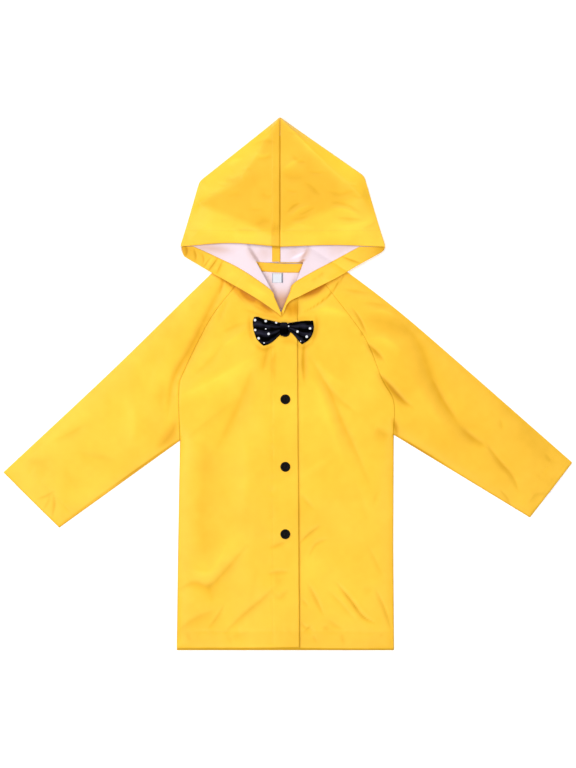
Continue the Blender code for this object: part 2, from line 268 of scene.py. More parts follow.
hoodSides = [[hoodCut["peak"], hoodCut["shoulder"][side], hoodCut["corner"][side]] for side in (0, 1)]
faceEdges = [curveThrough(chain) for chain in hoodCut["face edge"]]
lapEdge = curveThrough(coatCut["lap edge"])

# heights in millimetres over the floor

cloth = 0.55
layerHeights = {
    "floor layer": 0.62,  # upper face of a layer that lies on the floor
    "edge": 1.25,  # upper layer at a side seam or a sleeve's fold
    "puff": 4.2, "puff run": 10.0,
    "open share": 0.2,  # how much freer the open hem and cuffs are than a seam
    "waves": ((1.3, 85), (0.5, 34), (0.08, 11)),  # heights and sizes
    "raglan groove": (0.35, 0.15), "raglan puckers": 0.35,
    "lap lift": 2.3, "lap run": 70.0, "lap at neck": 0.38,  # the share of the lift left at the neck
    "over": 1.1,  # one layer's face over the next
}
# painted shade beside the seams, under the arms, at the hem, below the hood's flaps and beyond the left
# raglan, with a random drift of tone
paintedShadeAndDriftOnCoat = {  # how much deeper the colour is beside each line, (right, left) where they differ
    "raglan": (0.16, 0.04), "painted shadow below the flaps": (0.7, 0.4), "underarm": 0.6, "hem": 0.14,
    "beyond the left raglan": 0.22, "drift": ((0.10, 40), (0.06, 9)),
}

# creases: points, half width, depth (ridges are negative), how much the left side of the run
# stands over the right, and the painted shade in the fold (negative for a painted highlight)
coatCreases = (
    # front on the wearer's right
    (((-164, -20), (-112, 4), (-52, 40)), 13, -0.5, 1.3, -0.45),
    (((-54, 22), (-72, -25), (-88, -60), (-108, -100)), 12, 1.0, -0.5, 0.42),
    (((-152, -82), (-112, -50), (-76, -22)), 8, 0.5, 0.3, 0.22),
    (((-124, -84), (-126, -150), (-128, -215), (-124, -262)), 22, 0.6, -0.5, 0.30),
    (((-146, -278), (-116, -282), (-90, -238)), 7, -0.9, 0.3, -0.25),
    (((-166, -310), (-142, -298), (-118, -302), (-94, -280), (-62, -242)), 8, 1.5, 0.4, 0.55),
    (((-120, -300), (-112, -326)), 7, 0.5, 0.0, 0.30),
    (((-166, -372), (-140, -352), (-112, -340)), 8, 0.6, 0.3, 0.40),
    (((-120, -366), (-108, -352), (-96, -332)), 4, 0.7, 0.3, 0.40),
    (((-94, -372), (-62, -342), (-40, -324), (-20, -304)), 7, 1.3, 0.5, 0.55),
    (((-84, -380), (-58, -372)), 9, 0.3, 0.2, 0.25),
    (((-28, -246), (-16, -242), (-3, -236)), 4, 0.7, 0.0, 0.45),
    (((-30, -285), (-18, -282), (2, -281)), 4, 0.7, 0.2, 0.40),
    (((-22, -296), (-8, -294)), 9, 0.3, 0.0, 0.30),
    (((-22, -312), (-12, -320), (2, -308)), 5, 0.5, 0.0, 0.30),
    (((-140, 14), (-118, 34), (-100, 56)), 8, 0.6, 0.3, 0.28),
    (((-98, 78), (-76, 88), (-62, 92)), 5, 0.5, 0.3, 0.24),
    (((-96, 58), (-80, 68), (-64, 80)), 6, -0.7, 0.3, -0.25),
    (((-104, 92), (-96, 112), (-88, 128)), 5, 0.5, -0.3, 0.25),
    (((-96, 157), (-84, 146), (-73, 133), (-63, 121)), 1.8, 0.8, 0.3, 0.7),
    (((-99, 160), (-98, 150), (-103, 134)), 3.0, 0.8, 0.3, 0.6),
    (((-54, 120), (-42, 113), (-26, 104)), 2.5, 0.5, 0.3, 0.4),
    (((-66, 112), (-52, 108), (-40, 102)), 2.5, 0.3, 0.3, 0.25),
    (((-38, 20), (-34, 40), (-30, 56)), 6, 0.6, 0.0, 0.55),
    (((-20, 4), (-22, 30), (-18, 50)), 5, 0.4, 0.0, 0.40),
    (((-60, -330), (-50, -300), (-44, -262)), 9, 0.3, 0.2, 0.14),
    (((-70, -60), (-64, -130), (-70, -200)), 16, -0.6, 0.3, -0.12),
    # front on the wearer's left
    (((34, 40), (50, 12), (66, -18), (82, -58), (98, -92), (112, -124), (124, -152)), 6.5, 1.1, 0.7, 0.42),
    (((50, 10), (74, -20), (102, -42)), 5, 0.6, 0.2, 0.28),
    (((42, 38), (60, 16), (88, -4)), 8, -0.7, 0.4, -0.20),
    (((32, 12), (50, -22), (70, -80), (82, -112)), 11, -0.8, 0.5, -0.22),
    (((20, -140), (38, -124), (60, -112)), 8, -0.5, 0.2, -0.20),
    (((132, -66), (142, -74), (152, -80)), 10, 0.7, 0.3, 0.45),
    (((128, -170), (134, -172)), 8, 0.4, 0.0, 0.22),
    (((102, -150), (112, -180), (118, -204)), 7, 0.4, 0.2, 0.14),
    (((18, -238), (30, -226), (48, -212)), 2.8, 1.2, 0.4, 0.62),
    (((32, -258), (42, -240), (60, -232)), 3.2, 0.7, 0.3, 0.36),
    (((18, -164), (28, -176), (40, -188)), 4, 0.5, 0.3, 0.26),
    (((74, -299), (94, -324), (112, -348), (130, -358)), 2.8, 1.9, 0.7, 1.1),
    (((60, -308), (84, -334), (102, -356)), 4, 0.6, 0.3, 0.26),
    (((31, -300), (43, -324), (53, -345)), 3.0, 1.3, 0.5, 0.60),
    (((132, -308), (146, -340), (156, -373)), 3.2, 1.4, 0.5, 0.62),
    (((112, -304), (126, -312)), 7, 0.4, 0.0, 0.25),
    (((120, -242), (130, -262), (142, -288)), 4, 0.6, 0.3, 0.28),
    (((52, -364), (62, -368)), 4, 0.5, 0.0, 0.35),
    (((20, -322), (26, -328), (31, -333)), 2.0, 0.6, 0.3, 0.40),
    (((20, -357), (28, -365), (36, -361)), 2.0, 0.7, 0.3, 0.40),
    (((24, -372), (31, -366), (40, -371)), 1.8, 0.5, 0.3, 0.35),
    (((38, -376), (42, -388)), 2.4, 0.4, 0.0, 0.25), (((80, -374), (84, -390)), 3.0, 0.3, 0.0, 0.30),
    (((60, -352), (72, -362), (82, -366)), 4.0, 0.5, 0.3, 0.30),
    (((138, -374), (142, -380)), 3.0, 0.4, 0.0, 0.2),
    (((-152, -372), (-146, -386)), 4.0, 0.3, 0.0, 0.25),
    (((-92, -376), (-84, -390)), 5.0, 0.3, 0.0, 0.22),
    (((24, 62), (22, 34), (24, 4)), 5.5, 1.3, -0.5, 0.85),
    (((24, 108), (45, 120), (62, 134), (74, 150), (89, 168)), 1.7, 1.0, 0.5, 1.0),
    (((20, 120), (40, 128), (56, 142)), 4, -0.4, 0.2, -0.2),
    (((40, 108), (62, 112), (94, 102)), 8, -1.2, 0.5, -0.50),
    (((16, 128), (38, 139), (62, 152)), 8, 1.5, 0.0, 1.3),
    (((30, 134), (44, 141), (54, 148)), 4, 0.6, 0.0, 0.6),
    # painted shadow round the bow and below the hood's flaps
    (((-58, 104), (-57, 84), (-52, 62)), 4.5, 0.3, 0.0, 0.65),
    (((-50, 60), (-37, 52), (-18, 58)), 4.5, 0.3, 0.0, 0.6),
    (((42, 102), (43, 84), (36, 60)), 4.5, 0.3, 0.0, 0.65),
    (((14, 60), (4, 64), (-12, 64)), 6, 0.2, 0.0, 0.4),
    (((38, 62), (22, 55), (10, 62)), 4.0, 0.2, 0.0, 0.5),
    (((-50, 106), (-28, 101), (-8, 96)), 3.5, 0.2, 0.0, 0.5),
    (((0, 95), (18, 98), (40, 99)), 3.5, 0.2, 0.0, 0.4),
    (((-104, 160), (-80, 145), (-58, 130), (-36, 116), (-14, 98)), 6.5, 1.5, 0.0, 0.75),
    (((-74, 140), (-62, 132), (-48, 122)), 6.0, 1.0, 0.0, 1.0),
    (((-42, 121), (-32, 114), (-22, 106)), 4.0, 0.6, 0.0, 0.7),
    (((-5, 124), (4, 110), (2, 98)), 12, 0.8, 0.0, 1.0),
    (((12, 128), (13, 114), (13, 100)), 5, 0.8, 0.0, 0.7),
    # sleeve on the wearer's right
    (((-96, 160), (-122, 104), (-146, 56), (-172, 10), (-180, -40)), 11, 2.0, -1.0, 0.68),
    (((-165, -84), (-200, -109), (-262, -153)), 1.3, 0.7, 0.0, 0.90),
    (((-204, -112), (-270, -159), (-342, -211)), 1.2, 0.5, 0.0, 0.60),
    (((-188, 0), (-192, -34)), 9, 0.5, 0.0, 0.30),
    (((-166, -52), (-176, -76), (-196, -96)), 9, 1.2, 0.0, 0.65),
    (((-352, -86), (-330, -76), (-306, -62)), 7, 0.7, 0.4, 0.26),
    (((-392, -112), (-374, -118), (-356, -112)), 12, 0.4, 0.2, 0.20),
    (((-312, -102), (-290, -108), (-262, -112)), 9, 0.5, 0.3, 0.20),
    (((-330, -130), (-318, -160)), 12, 0.3, 0.0, 0.20),
    (((-236, -24), (-232, -60), (-240, -96)), 14, -0.5, 0.3, -0.10),
    (((-352, -164), (-350, -180), (-354, -202)), 3, 0.7, 0.4, 0.60),
    (((-376, -172), (-364, -168), (-350, -160)), 3, 0.5, 0.3, 0.40),
    (((-368, -190), (-360, -176), (-358, -166)), 3, 0.4, 0.2, 0.36),
    (((-160, 112), (-190, 96)), 8, 0.4, 0.0, 0.16),
    (((-130, 128), (-140, 118), (-150, 120)), 10, 0.3, 0.0, 0.16),
    # sleeve on the wearer's left
    (((98, 113), (108, 97), (118, 76)), 3, 1.2, 0.5, 0.75),
    (((109, 77), (112, 73)), 3, 0.5, 0.0, 0.7),
    (((117, 62), (128, 52), (144, 36)), 5.5, 1.6, 0.6, 1.05),
    (((134, 18), (152, -2), (172, -24), (186, -34)), 6, 2.1, 0.9, 1.15),
    (((157, -50), (161, -64), (164, -80)), 4.5, 1.6, 0.0, 1.0),
    (((158, -78), (190, -94), (222, -112)), 4, 0.7, 0.0, 0.40),
    (((159, -74), (198, -98), (248, -128)), 1.3, 0.6, 0.0, 0.85),
    (((122, 68), (146, 66), (170, 50)), 8, -0.9, 0.3, -0.30),
    (((84, 142), (104, 139), (124, 136)), 4, 0.6, 0.2, 0.35),
    (((112, 122), (134, 120), (154, 116)), 5, 0.6, 0.2, 0.35),
    (((118, 108), (140, 110), (162, 102)), 4, -0.6, 0.2, -0.25),
    (((106, 96), (150, 92), (184, 74)), 15, 0.5, 0.0, 0.38),
    (((166, 96), (196, 60), (215, 10), (236, -32), (266, -72), (290, -88)), 12, 1.5, 0.9, 0.42),
    (((216, 8), (234, -26), (252, -52)), 6, 0.7, 0.5, 0.30),
    (((262, -66), (278, -82), (296, -92)), 7, 1.0, 0.6, 0.45),
    (((298, -88), (308, -104), (322, -122), (336, -138), (346, -160)), 5, 1.1, 0.6, 0.60),
    (((318, -158), (328, -170), (334, -182)), 3.2, 0.6, 0.3, 0.45),
    (((318, -52), (322, -68)), 4, 0.4, 0.2, 0.30),
    (((344, -60), (372, -90), (398, -122)), 20, 0.3, 0.0, 0.22),
    (((176, 24), (200, -20), (236, -72)), 14, -0.6, 0.4, -0.16),
    (((386, -104), (394, -116)), 4, 0.4, 0.2, 0.30),
    (((360, -180), (372, -166), (386, -164)), 5, 0.5, 0.2, 0.30),
)

paintedBouncePlaces = (  # painted bounce light that makes a fold orange: points, half width, two heights, amount
    (((-112, 166), (-80, 144), (-50, 124), (-10, 94)), 13, 0, 0, 1.5),
    (((-8, 124), (6, 112), (8, 98)), 14, 0, 0, 1.3), (((12, 126), (38, 140), (66, 156)), 11, 0, 0, 1.3),
    (((-100, 160), (-120, 112), (-150, 52), (-178, -20)), 22, 0, 0, 0.5),
    (((-168, -60), (-190, -90)), 20, 0, 0, 0.8),
)

stitchLines = {  # chains on the coat, in millimetres
    "hem right": ((-165, -372), (-90, -371.5), (-24, -371)),
    "hem lap": ((-22, -371), (16, -371)),
    "hem left": ((20, -371), (90, -372), (157, -373)),
    "cuff right": ((-405, -111), (-322, -197)),
    "cuff left": ((405, -102), (341, -188)),
}


# how far the creases lower the cloth, and how much painted shade they lay in the fold
def creased(spots, creases):
    lower, paintedShade = np.zeros(spots.shape[:-1]), np.zeros(spots.shape[:-1])
    for points, halfWidth, depth, over, tint in creases:
        chain = curveThrough(points, 6) if len(points) > 2 else np.array(points, float)
        reach = 4 * halfWidth
        close = ((spots > chain.min(0) - reach) & (spots < chain.max(0) + reach)).all(-1)
        if not close.any():
            continue
        away, side, share = nearChain(spots[close], chain)
        taper = np.sin(math.pi * np.clip(share, 0.02, 0.98)) ** 0.6
        off = away / (halfWidth * (0.45 + 0.55 * taper))
        dip = depth * (0.5 * bell(off, 1) + 0.6 * np.exp(-np.sqrt(off ** 2 + 0.1)))
        step = 1.3 * over * side * off / (1 + off ** 2) ** 1.4
        ends = np.exp(-8 * np.maximum(away / reach - 0.6, 0))
        lower[close] += taper * (dip - step) * ends
        crest = side * np.sign(over) > 0  # the painted shade is crisp on the crest's side and soft below it
        soft = off * (np.where(crest, 1.9, 0.85) if over else 1.0)
        paintedShade[close] += taper * tint * (0.75 * bell(soft, 1) + 0.35 * np.exp(-2.2 * soft))
    return lower, paintedShade


# little bumps that a row of stitches draws up beside it, and the groove of the row
def puckered(spots, chain, height, cell, seed):
    away, _, share = nearChain(spots, chain)
    along = share * runsOf(chain).sum()
    wave = rumple(np.stack([along, np.zeros_like(along)], -1), cell, seed)
    return height * wave * fade(away, 5.0) - 0.28 * bell(away, 1.1)


# distance to the coat's edge, counted longer beside the open hem and cuffs
def fromEdge(spots):
    inside = np.maximum(insideBy(spots, coatOutline), 0)
    closed = awayFrom(spots, *closedEdges)
    return inside + layerHeights["open share"] * np.maximum(closed - inside, 0)


# upper face of the body's and sleeves' top layer, where nothing laps over
def plainHeight(spots):
    rise = 1 - fade(fromEdge(spots), layerHeights["puff run"])
    height = layerHeights["puff"] + waves(spots, layerHeights["waves"], 11)
    height = height - creased(spots, coatCreases)[0]
    for index, chain in enumerate(stitchLines.values()):
        height = height + puckered(spots, chain, 0.5, 7, 30 + index)
    for side in (0, 1):
        away = awayFrom(spots, raglanLine[side])
        height = height - layerHeights["raglan groove"][side] * bell(away, 1.8)
        height = height + layerHeights["raglan puckers"] * rumple(spots, 9, 40 + side) * fade(away, 6)
    return layerHeights["edge"] + np.maximum(rise * height, 0)


# 0 below the bow, 1 where the lap goes under the hood's flaps
def atNeck(spots):
    return smoothStep((spots[..., 1] - 78) / 22)


# upper face of the front that laps over
def lapHeight(spots):
    toLap = (spots[..., 0] - coatCut["lap stitch"][1][0]) / layerHeights["lap run"] + 1
    left = 1 - (1 - layerHeights["lap at neck"]) * atNeck(spots)
    lifted = plainHeight(spots) + layerHeights["lap lift"] * smoothStep(toLap) * left
    lifted = lifted + puckered(spots, coatCut["lap stitch"], 0.55, 9, 51)
    return lifted + 0.3 * rumple(spots, 8, 52) * fade(awayFrom(spots, coatCut["lap edge"]), 6)


# upper face of whichever front or sleeve is uppermost
def topHeight(spots):
    pastLap = smoothStep((spots[..., 0] - 16) / 18)
    return lapHeight(spots) * (1 - pastLap) + plainHeight(spots) * pastLap


hoodShape = {
    "neck ramp": 7.0,  # the flaps fold down inside the neck over this distance
    "sleeve ramp": 60.0,  # and come down beyond the sleeves over this one
    "corner height": 3.2,
    "flap rise": 4.5,  # the free edge stands off the fronts
    "top": 12.0,  # height of the hood's flat middle
    "side edge": 3.2, "face edge": 7.0,  # heights it slopes down to
    "fold": 2.6,  # outside height of the fold at the silhouette
    "waves": ((0.35, 48), (0.10, 14)), "seam groove": 0.65,
    "allowance": (12.5, 0.35),  # width and height of the seam's turned cloth, which shows through
}
# painted shade and highlight on the hood, and a random drift of tone
paintedShadeAndDriftOnHood = {
    "flat": 0.46, "seam": (0.1, 0.5), "face edge": 0.35, "allowance": (0.08, 0.34), "all over": -0.14,
    "drift": ((0.10, 30), (0.05, 10)),
}
hoodFlat = np.array([(-12, 398), (-69, 307), (-132, 270), (-24, 224), (108, 281), (57, 328)], float)
hoodStitchLine = ((-153, 230), (-12, 229), (138, 230))


# upper, inner face of the hood's lower layer
def hoodUnderHeight(spots):
    x, y = spots[..., 0], spots[..., 1]
    besideNeck = smoothStep((np.abs(x + 15) - 42) / 30)
    ramp = hoodShape["neck ramp"] + (hoodShape["sleeve ramp"] - hoodShape["neck ramp"]) * besideNeck
    over = smoothStep(1.15 + insideBy(spots, notchedOutline) / ramp)
    flap = topHeight(spots) + layerHeights["over"]
    for edge in hoodCut["free edge"]:
        away, _, share = nearChain(spots, edge)
        flap = flap + hoodShape["flap rise"] * fade(away, 13) * smoothStep(5 * (1 - share) + 0.15)
    toCorner = smoothStep((np.abs(x + 8) - 70) / 60) * smoothStep((250 - y) / 60)
    floor = layerHeights["floor layer"] + hoodShape["corner height"] * toCorner
    return floor + over * (flap - floor) + 0.25 * rumple(spots, 26, 61) * (y < 330)


# the hood's creases, in the coat's columns: the last is painted shade in the fold, negative for a painted
# highlight
hoodCreases = (
    (((-2, 256), (8, 266), (18, 270)), 3.5, 0.6, 0.4, 0.35),
    (((4, 250), (18, 262), (34, 268)), 3.0, -0.5, 0.3, -0.25),
    (((16, 252), (28, 258), (40, 264)), 3.0, 0.5, 0.3, 0.25),
    (((6, 246), (20, 248), (32, 252)), 3.5, 0.4, 0.2, 0.2),
    (((2, 232), (14, 238), (40, 234)), 4, -0.4, 0.2, -0.2),
    (((66, 272), (88, 268), (110, 258)), 4.5, 0.7, 0.4, 0.35),
    (((72, 250), (86, 248), (112, 246)), 4.5, 0.7, 0.4, 0.40),
    (((66, 262), (90, 260), (108, 250)), 3.5, -0.5, 0.3, -0.25),
    (((60, 240), (84, 236), (122, 244)), 5, -0.4, 0.3, -0.2),
    (((60, 288), (80, 284), (100, 290)), 5, 0.4, 0.2, 0.2),
    (((8, 342), (16, 334), (26, 332)), 4, 0.5, 0.3, 0.3),
    (((-6, 322), (8, 332), (20, 336)), 5, -0.6, 0.3, -0.4),
    (((28, 300), (40, 290), (50, 282)), 6, 0.4, 0.2, 0.25),
    (((-6, 314), (8, 308), (22, 310)), 7, 0.4, 0.0, 0.25),
    (((-50, 360), (-34, 364), (-18, 362)), 5, 0.5, 0.2, 0.3),
    (((-50, 346), (-36, 342), (-28, 346)), 5, -0.6, 0.2, -0.3),
    (((-46, 336), (-36, 338), (-22, 340)), 5, 0.4, 0.2, 0.25),
    (((-94, 308), (-82, 306), (-70, 312)), 6, 0.6, 0.3, 0.35),
    (((-90, 330), (-80, 336), (-70, 338)), 5, -0.6, 0.2, -0.3),
    (((-90, 280), (-78, 284), (-66, 282)), 5, 0.3, 0.2, 0.1),
    (((-40, 286), (-30, 280), (-20, 284)), 5, 0.4, 0.2, 0.2),
    (((-80, 232), (-66, 231), (-40, 228)), 3, 0.4, 0.2, 0.25),
    (((-48, 236), (-36, 244), (-24, 240)), 7, 0.4, 0.0, 0.25),
    (((112, 232), (124, 238), (134, 246)), 4, 0.4, 0.2, 0.25),
    # painted highlights on facets that catch the light; their heights are left as they are
    (((2, 392), (54, 350), (114, 304)), 20, 0.0, 0.0, -0.50),
    (((-20, 392), (-70, 350), (-126, 300)), 14, 0.0, 0.0, -0.20),
    (((-142, 242), (-84, 224), (-28, 220)), 12, 0.0, 0.0, -0.22),
    (((18, 221), (84, 226), (132, 252)), 12, 0.0, 0.0, -0.22),
    # small crumples
    (((-60, 380), (-47.4, 375.5), (-34, 374)), 2.5, 0.4, 0.2, 0.12),
    (((-30, 376), (-24, 382.6), (-18, 388)), 2, 0.3, 0.2, 0.15),
    (((0, 378), (10.6, 374.1), (22, 372)), 2.2, 0.4, 0.2, 0.15),
    (((-104, 300), (-95.4, 298.1), (-86, 298)), 2.2, 0.4, 0.2, 0.15),
    (((-118, 284), (-108, 285.2), (-98, 284)), 2.4, 0.4, 0.2, 0.12),
    (((-70, 322), (-60.6, 320.8), (-52, 322)), 2.4, 0.4, 0.2, 0.12),
    (((30, 318), (42.8, 315.5), (54, 316)), 2.6, 0.4, 0.2, 0.12),
    (((84, 300), (94, 298.1), (104, 298)), 2.4, 0.4, 0.2, 0.12),
    (((96, 282), (106, 278.8), (116, 278)), 2.4, 0.4, 0.2, 0.12),
    (((-2, 290), (6.8, 287.5), (14, 288)), 2.4, 0.4, 0.2, 0.15),
    (((-60, 262), (-48.6, 260.8), (-38, 262)), 2.4, 0.3, 0.2, 0.1),
    (((-104, 244), (-92, 245.9), (-80, 246)), 2.4, 0.3, 0.2, 0.12),
)


# upper, outer face of the hood's upper layer: a flat middle with facets down to its edges
def hoodTopHeight(spots):
    fromSeam = spots[..., 0] - hoodCut["seam x"]
    toSide, toFace = awayFrom(spots, *hoodSides), awayFrom(spots, *faceEdges)
    toEdge = np.minimum(toSide, toFace)
    outsideFlat = np.maximum(-insideBy(spots, hoodFlat), 0)
    side, face = hoodShape["side edge"], hoodShape["face edge"]
    edgeHeight = side + (face - side) * smoothStep(toSide / 50)
    # a short eased run on both sides of each fold line
    share = toEdge / np.maximum(toEdge + np.sqrt(outsideFlat ** 2 + 4) - 2, 1e-3)
    dome = edgeHeight + (hoodShape["top"] - edgeHeight) * np.minimum(share, 1)
    rise = 1 - fade(np.clip(insideBy(spots, hoodOutline), 0, 40), 3.0)
    details = waves(spots, hoodShape["waves"], 71) - creased(spots, hoodCreases)[0]
    dome = dome + rise * (details + puckered(spots, hoodStitchLine, 0.4, 8, 73))
    width, height = hoodShape["allowance"]
    dome = dome + height * smoothStep((width + fromSeam) / 2) * (fromSeam < 0)
    dome = dome - 0.5 * fade(toFace, 1.4) - hoodShape["seam groove"] * bell(fromSeam, 1.5)
    return np.maximum(dome, hoodUnderHeight(spots) + hoodShape["fold"] * 0.8)


# painted shade on the coat: in folds, beside the seams, under the arms, below the hood's flaps and
# over the wearer's left sleeve; deeper below the hem's stitching, with a random drift of tone
def paintedCoatShadeAndDrift(spots):
    x, y = spots[..., 0], spots[..., 1]
    paintedShade = creased(spots, coatCreases)[1] + waves(spots, paintedShadeAndDriftOnCoat["drift"], 14)
    for side in (0, 1):
        paintedShade = paintedShade + paintedShadeAndDriftOnCoat["raglan"][side] * bell(awayFrom(spots, raglanLine[side]), 1.2)
        # painted shadow below each of the hood's flaps
        flap = awayFrom(spots, hoodCut["free edge"][side])
        paintedShade = paintedShade + paintedShadeAndDriftOnCoat["painted shadow below the flaps"][side] * bell(flap, 2.2)
    paintedShade = paintedShade + paintedShadeAndDriftOnCoat["underarm"] * bell(awayFrom(spots, *coatCut["underarm"]), 1.8)
    # painted shade over the wearer's left sleeve, beyond its raglan
    beyond = smoothStep((x - 120) / 60) * smoothStep((x * 0.7 + y - 20) / 40)
    paintedShade = paintedShade + paintedShadeAndDriftOnCoat["beyond the left raglan"] * beyond
    return paintedShade + paintedShadeAndDriftOnCoat["hem"] * smoothStep((-368 - y) / 6)


# painted shade on the hood: deeper over its flat middle, along the centre seam, under the face edge
# and over the seam's turned cloth, with painted highlights on the facets and a random drift of tone
def paintedHoodShadeAndDrift(spots):
    fromSeam, y = spots[..., 0] - hoodCut["seam x"], spots[..., 1]
    paintedShade = creased(spots, hoodCreases)[1] + waves(spots, paintedShadeAndDriftOnHood["drift"], 74)
    paintedShade = paintedShade + paintedShadeAndDriftOnHood["all over"]
    paintedShade = paintedShade + paintedShadeAndDriftOnHood["flat"] * smoothStep(0.5 + insideBy(spots, hoodFlat) / 14)
    paintedShade = paintedShade + paintedShadeAndDriftOnHood["face edge"] * bell(awayFrom(spots, *faceEdges), 1.3)
    least, more = paintedShadeAndDriftOnHood["seam"]
    paintedShade = paintedShade + (least + more * smoothStep((y - 222) / 30)) * bell(fromSeam - 0.3, 1.4)
    least, more = paintedShadeAndDriftOnHood["allowance"]
    showing = (fromSeam < 0) & (fromSeam > -13)
    return paintedShade + showing * (least + more * smoothStep((248 - y) / 20))


# making meshes

def newObject(name, data):
    piece = bpy.data.objects.new(name, data)
    bpy.context.scene.collection.objects.link(piece)
    return piece


# one value for each of the mesh's points, which a material reads by name
def addValues(piece, name, values):
    attribute = piece.data.attributes.new(name, "FLOAT", "POINT")
    attribute.data.foreach_set("value", np.ravel(np.asarray(values, float)))


def meshObject(name, points, faces, materials, uv=None, tint=None):
    points = np.asarray(points, float).reshape(-1, 3)
    mesh = bpy.data.meshes.new(name)
    mesh.from_pydata((points * mm).tolist(), [], faces)
    mesh.polygons.foreach_set("use_smooth", [True] * len(mesh.polygons))
    piece = newObject(name, mesh)
    for material in materials:
        mesh.materials.append(material)
    if uv is not None:
        flat = np.asarray(uv, float).reshape(-1, 2) * mm
        index = np.empty(len(mesh.loops), int)
        mesh.loops.foreach_get("vertex_index", index)
        mesh.uv_layers.new(name="cut").data.foreach_set("uv", flat[index].ravel())
    if tint is not None:
        # painted shade in folds, and painted bounce light that turns it orange
        addValues(piece, "paintedShade", tint)
        addValues(piece, "painted bounce light", np.minimum(creased(points[:, :2], paintedBouncePlaces)[1], 1))
    mesh.update()
    return piece


# the faces of a grid of points, turned so that the given stretch of it looks up
def gridFaces(points, stretch):
    rows, columns = points.shape[:2]
    index = np.arange(rows * columns).reshape(rows, columns)
    corners = [index[:-1, :-1], index[:-1, 1:], index[1:, 1:], index[1:, :-1]]
    across = stretch[:-1, 1:, :2] - stretch[:-1, :-1, :2]
    up = stretch[1:, :-1, :2] - stretch[:-1, :-1, :2]
    if np.median(across[..., 0] * up[..., 1] - across[..., 1] * up[..., 0]) <= 0:
        corners.reverse()
    return np.stack([corner.ravel() for corner in corners], axis=1).tolist()


# the cloth's thickness, on the lower side, with the second material inside
def addWall(piece, thick):
    wall = piece.modifiers.new("wall", "SOLIDIFY")
    wall.thickness = thick * mm
    wall.offset = -1
    wall.material_offset = 1
    wall.material_offset_rim = 0
    return wall


# a sheet with its outer material on the face that looks up; points is rows x columns x 3
def clothSheet(name, points, outer, inner, thick=cloth, tint=None):
    faces = gridFaces(points, points)
    piece = meshObject(name, points, faces, [outer, inner], uv=points[..., :2], tint=tint)
    addWall(piece, thick).use_quality_normals = True
    return piece


def withHeight(spots, height):
    return np.concatenate([spots, height(spots)[..., None]], axis=-1)


def settle(piece, node):
    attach(piece, "root")
    if node:
        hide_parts(node)


def outwardFaces(piece):
    work = bmesh.new()
    work.from_mesh(piece.data)
    bmesh.ops.recalc_face_normals(work, faces=work.faces)
    work.to_mesh(piece.data)
    work.free()


# materials

# an input takes a value, or a link where it is given an output
def give(tree, socket, value):
    if isinstance(value, bpy.types.NodeSocket):
        tree.links.new(value, socket)
    else:
        socket.default_value = value


def addNode(tree, kind, inputs=None, **settings):
    node = tree.nodes.new(kind)
    for name, value in settings.items():
        setattr(node, name, value)
    for name, value in (inputs or {}).items():
        give(tree, node.inputs[name], value)
    return node


def newMaterial(name):
    material = bpy.data.materials.new(name)
    material.use_nodes = True
    return material, material.node_tree, material.node_tree.nodes["Principled BSDF"]


def newGroup(name, inputs, outputs):
    group = bpy.data.node_groups.new(name, "ShaderNodeTree")
    for label, kind, value in inputs:
        socket = group.interface.new_socket(name=label, in_out="INPUT", socket_type=kind)
        if value is not None:
            socket.default_value = value
    for label, kind in outputs:
        group.interface.new_socket(name=label, in_out="OUTPUT", socket_type=kind)
    return group, group.nodes.new("NodeGroupInput").outputs, group.nodes.new("NodeGroupOutput").inputs


def mathNode(tree, operation, *values):
    node = addNode(tree, "ShaderNodeMath", operation=operation)
    for socket, value in zip(node.inputs, values):
        give(tree, socket, value)
    return node.outputs[0]


def colourMix(tree, factor, first, second, **settings):
    mix = addNode(tree, "ShaderNodeMix", data_type="RGBA", **settings)
    for label, value in (("Factor", factor), ("A", first), ("B", second)):
        give(tree, mix.inputs[label], value)
    return mix.outputs["Result"]


def colourRamp(tree, factor, dark, light, start=0.0, end=1.0):
    ramp = addNode(tree, "ShaderNodeValToRGB", {"Fac": factor})
    for element, place, colour in zip(ramp.color_ramp.elements, (start, end), (dark, light)):
        element.position = place
        element.color = (*colour, 1)
    return ramp.outputs["Color"]


# lays a plain colour over the base colour where the mask is 1
def overlay(tree, shader, mask, colour):
    below = shader.inputs["Base Color"].links[0].from_socket
    give(tree, shader.inputs["Base Color"], colourMix(tree, mask, below, (*colour, 1)))


def addBump(tree, shader, height, strength, distance):
    bump = addNode(tree, "ShaderNodeBump", {"Height": height, "Strength": strength, "Distance": distance})
    give(tree, shader.inputs["Normal"], bump.outputs["Normal"])


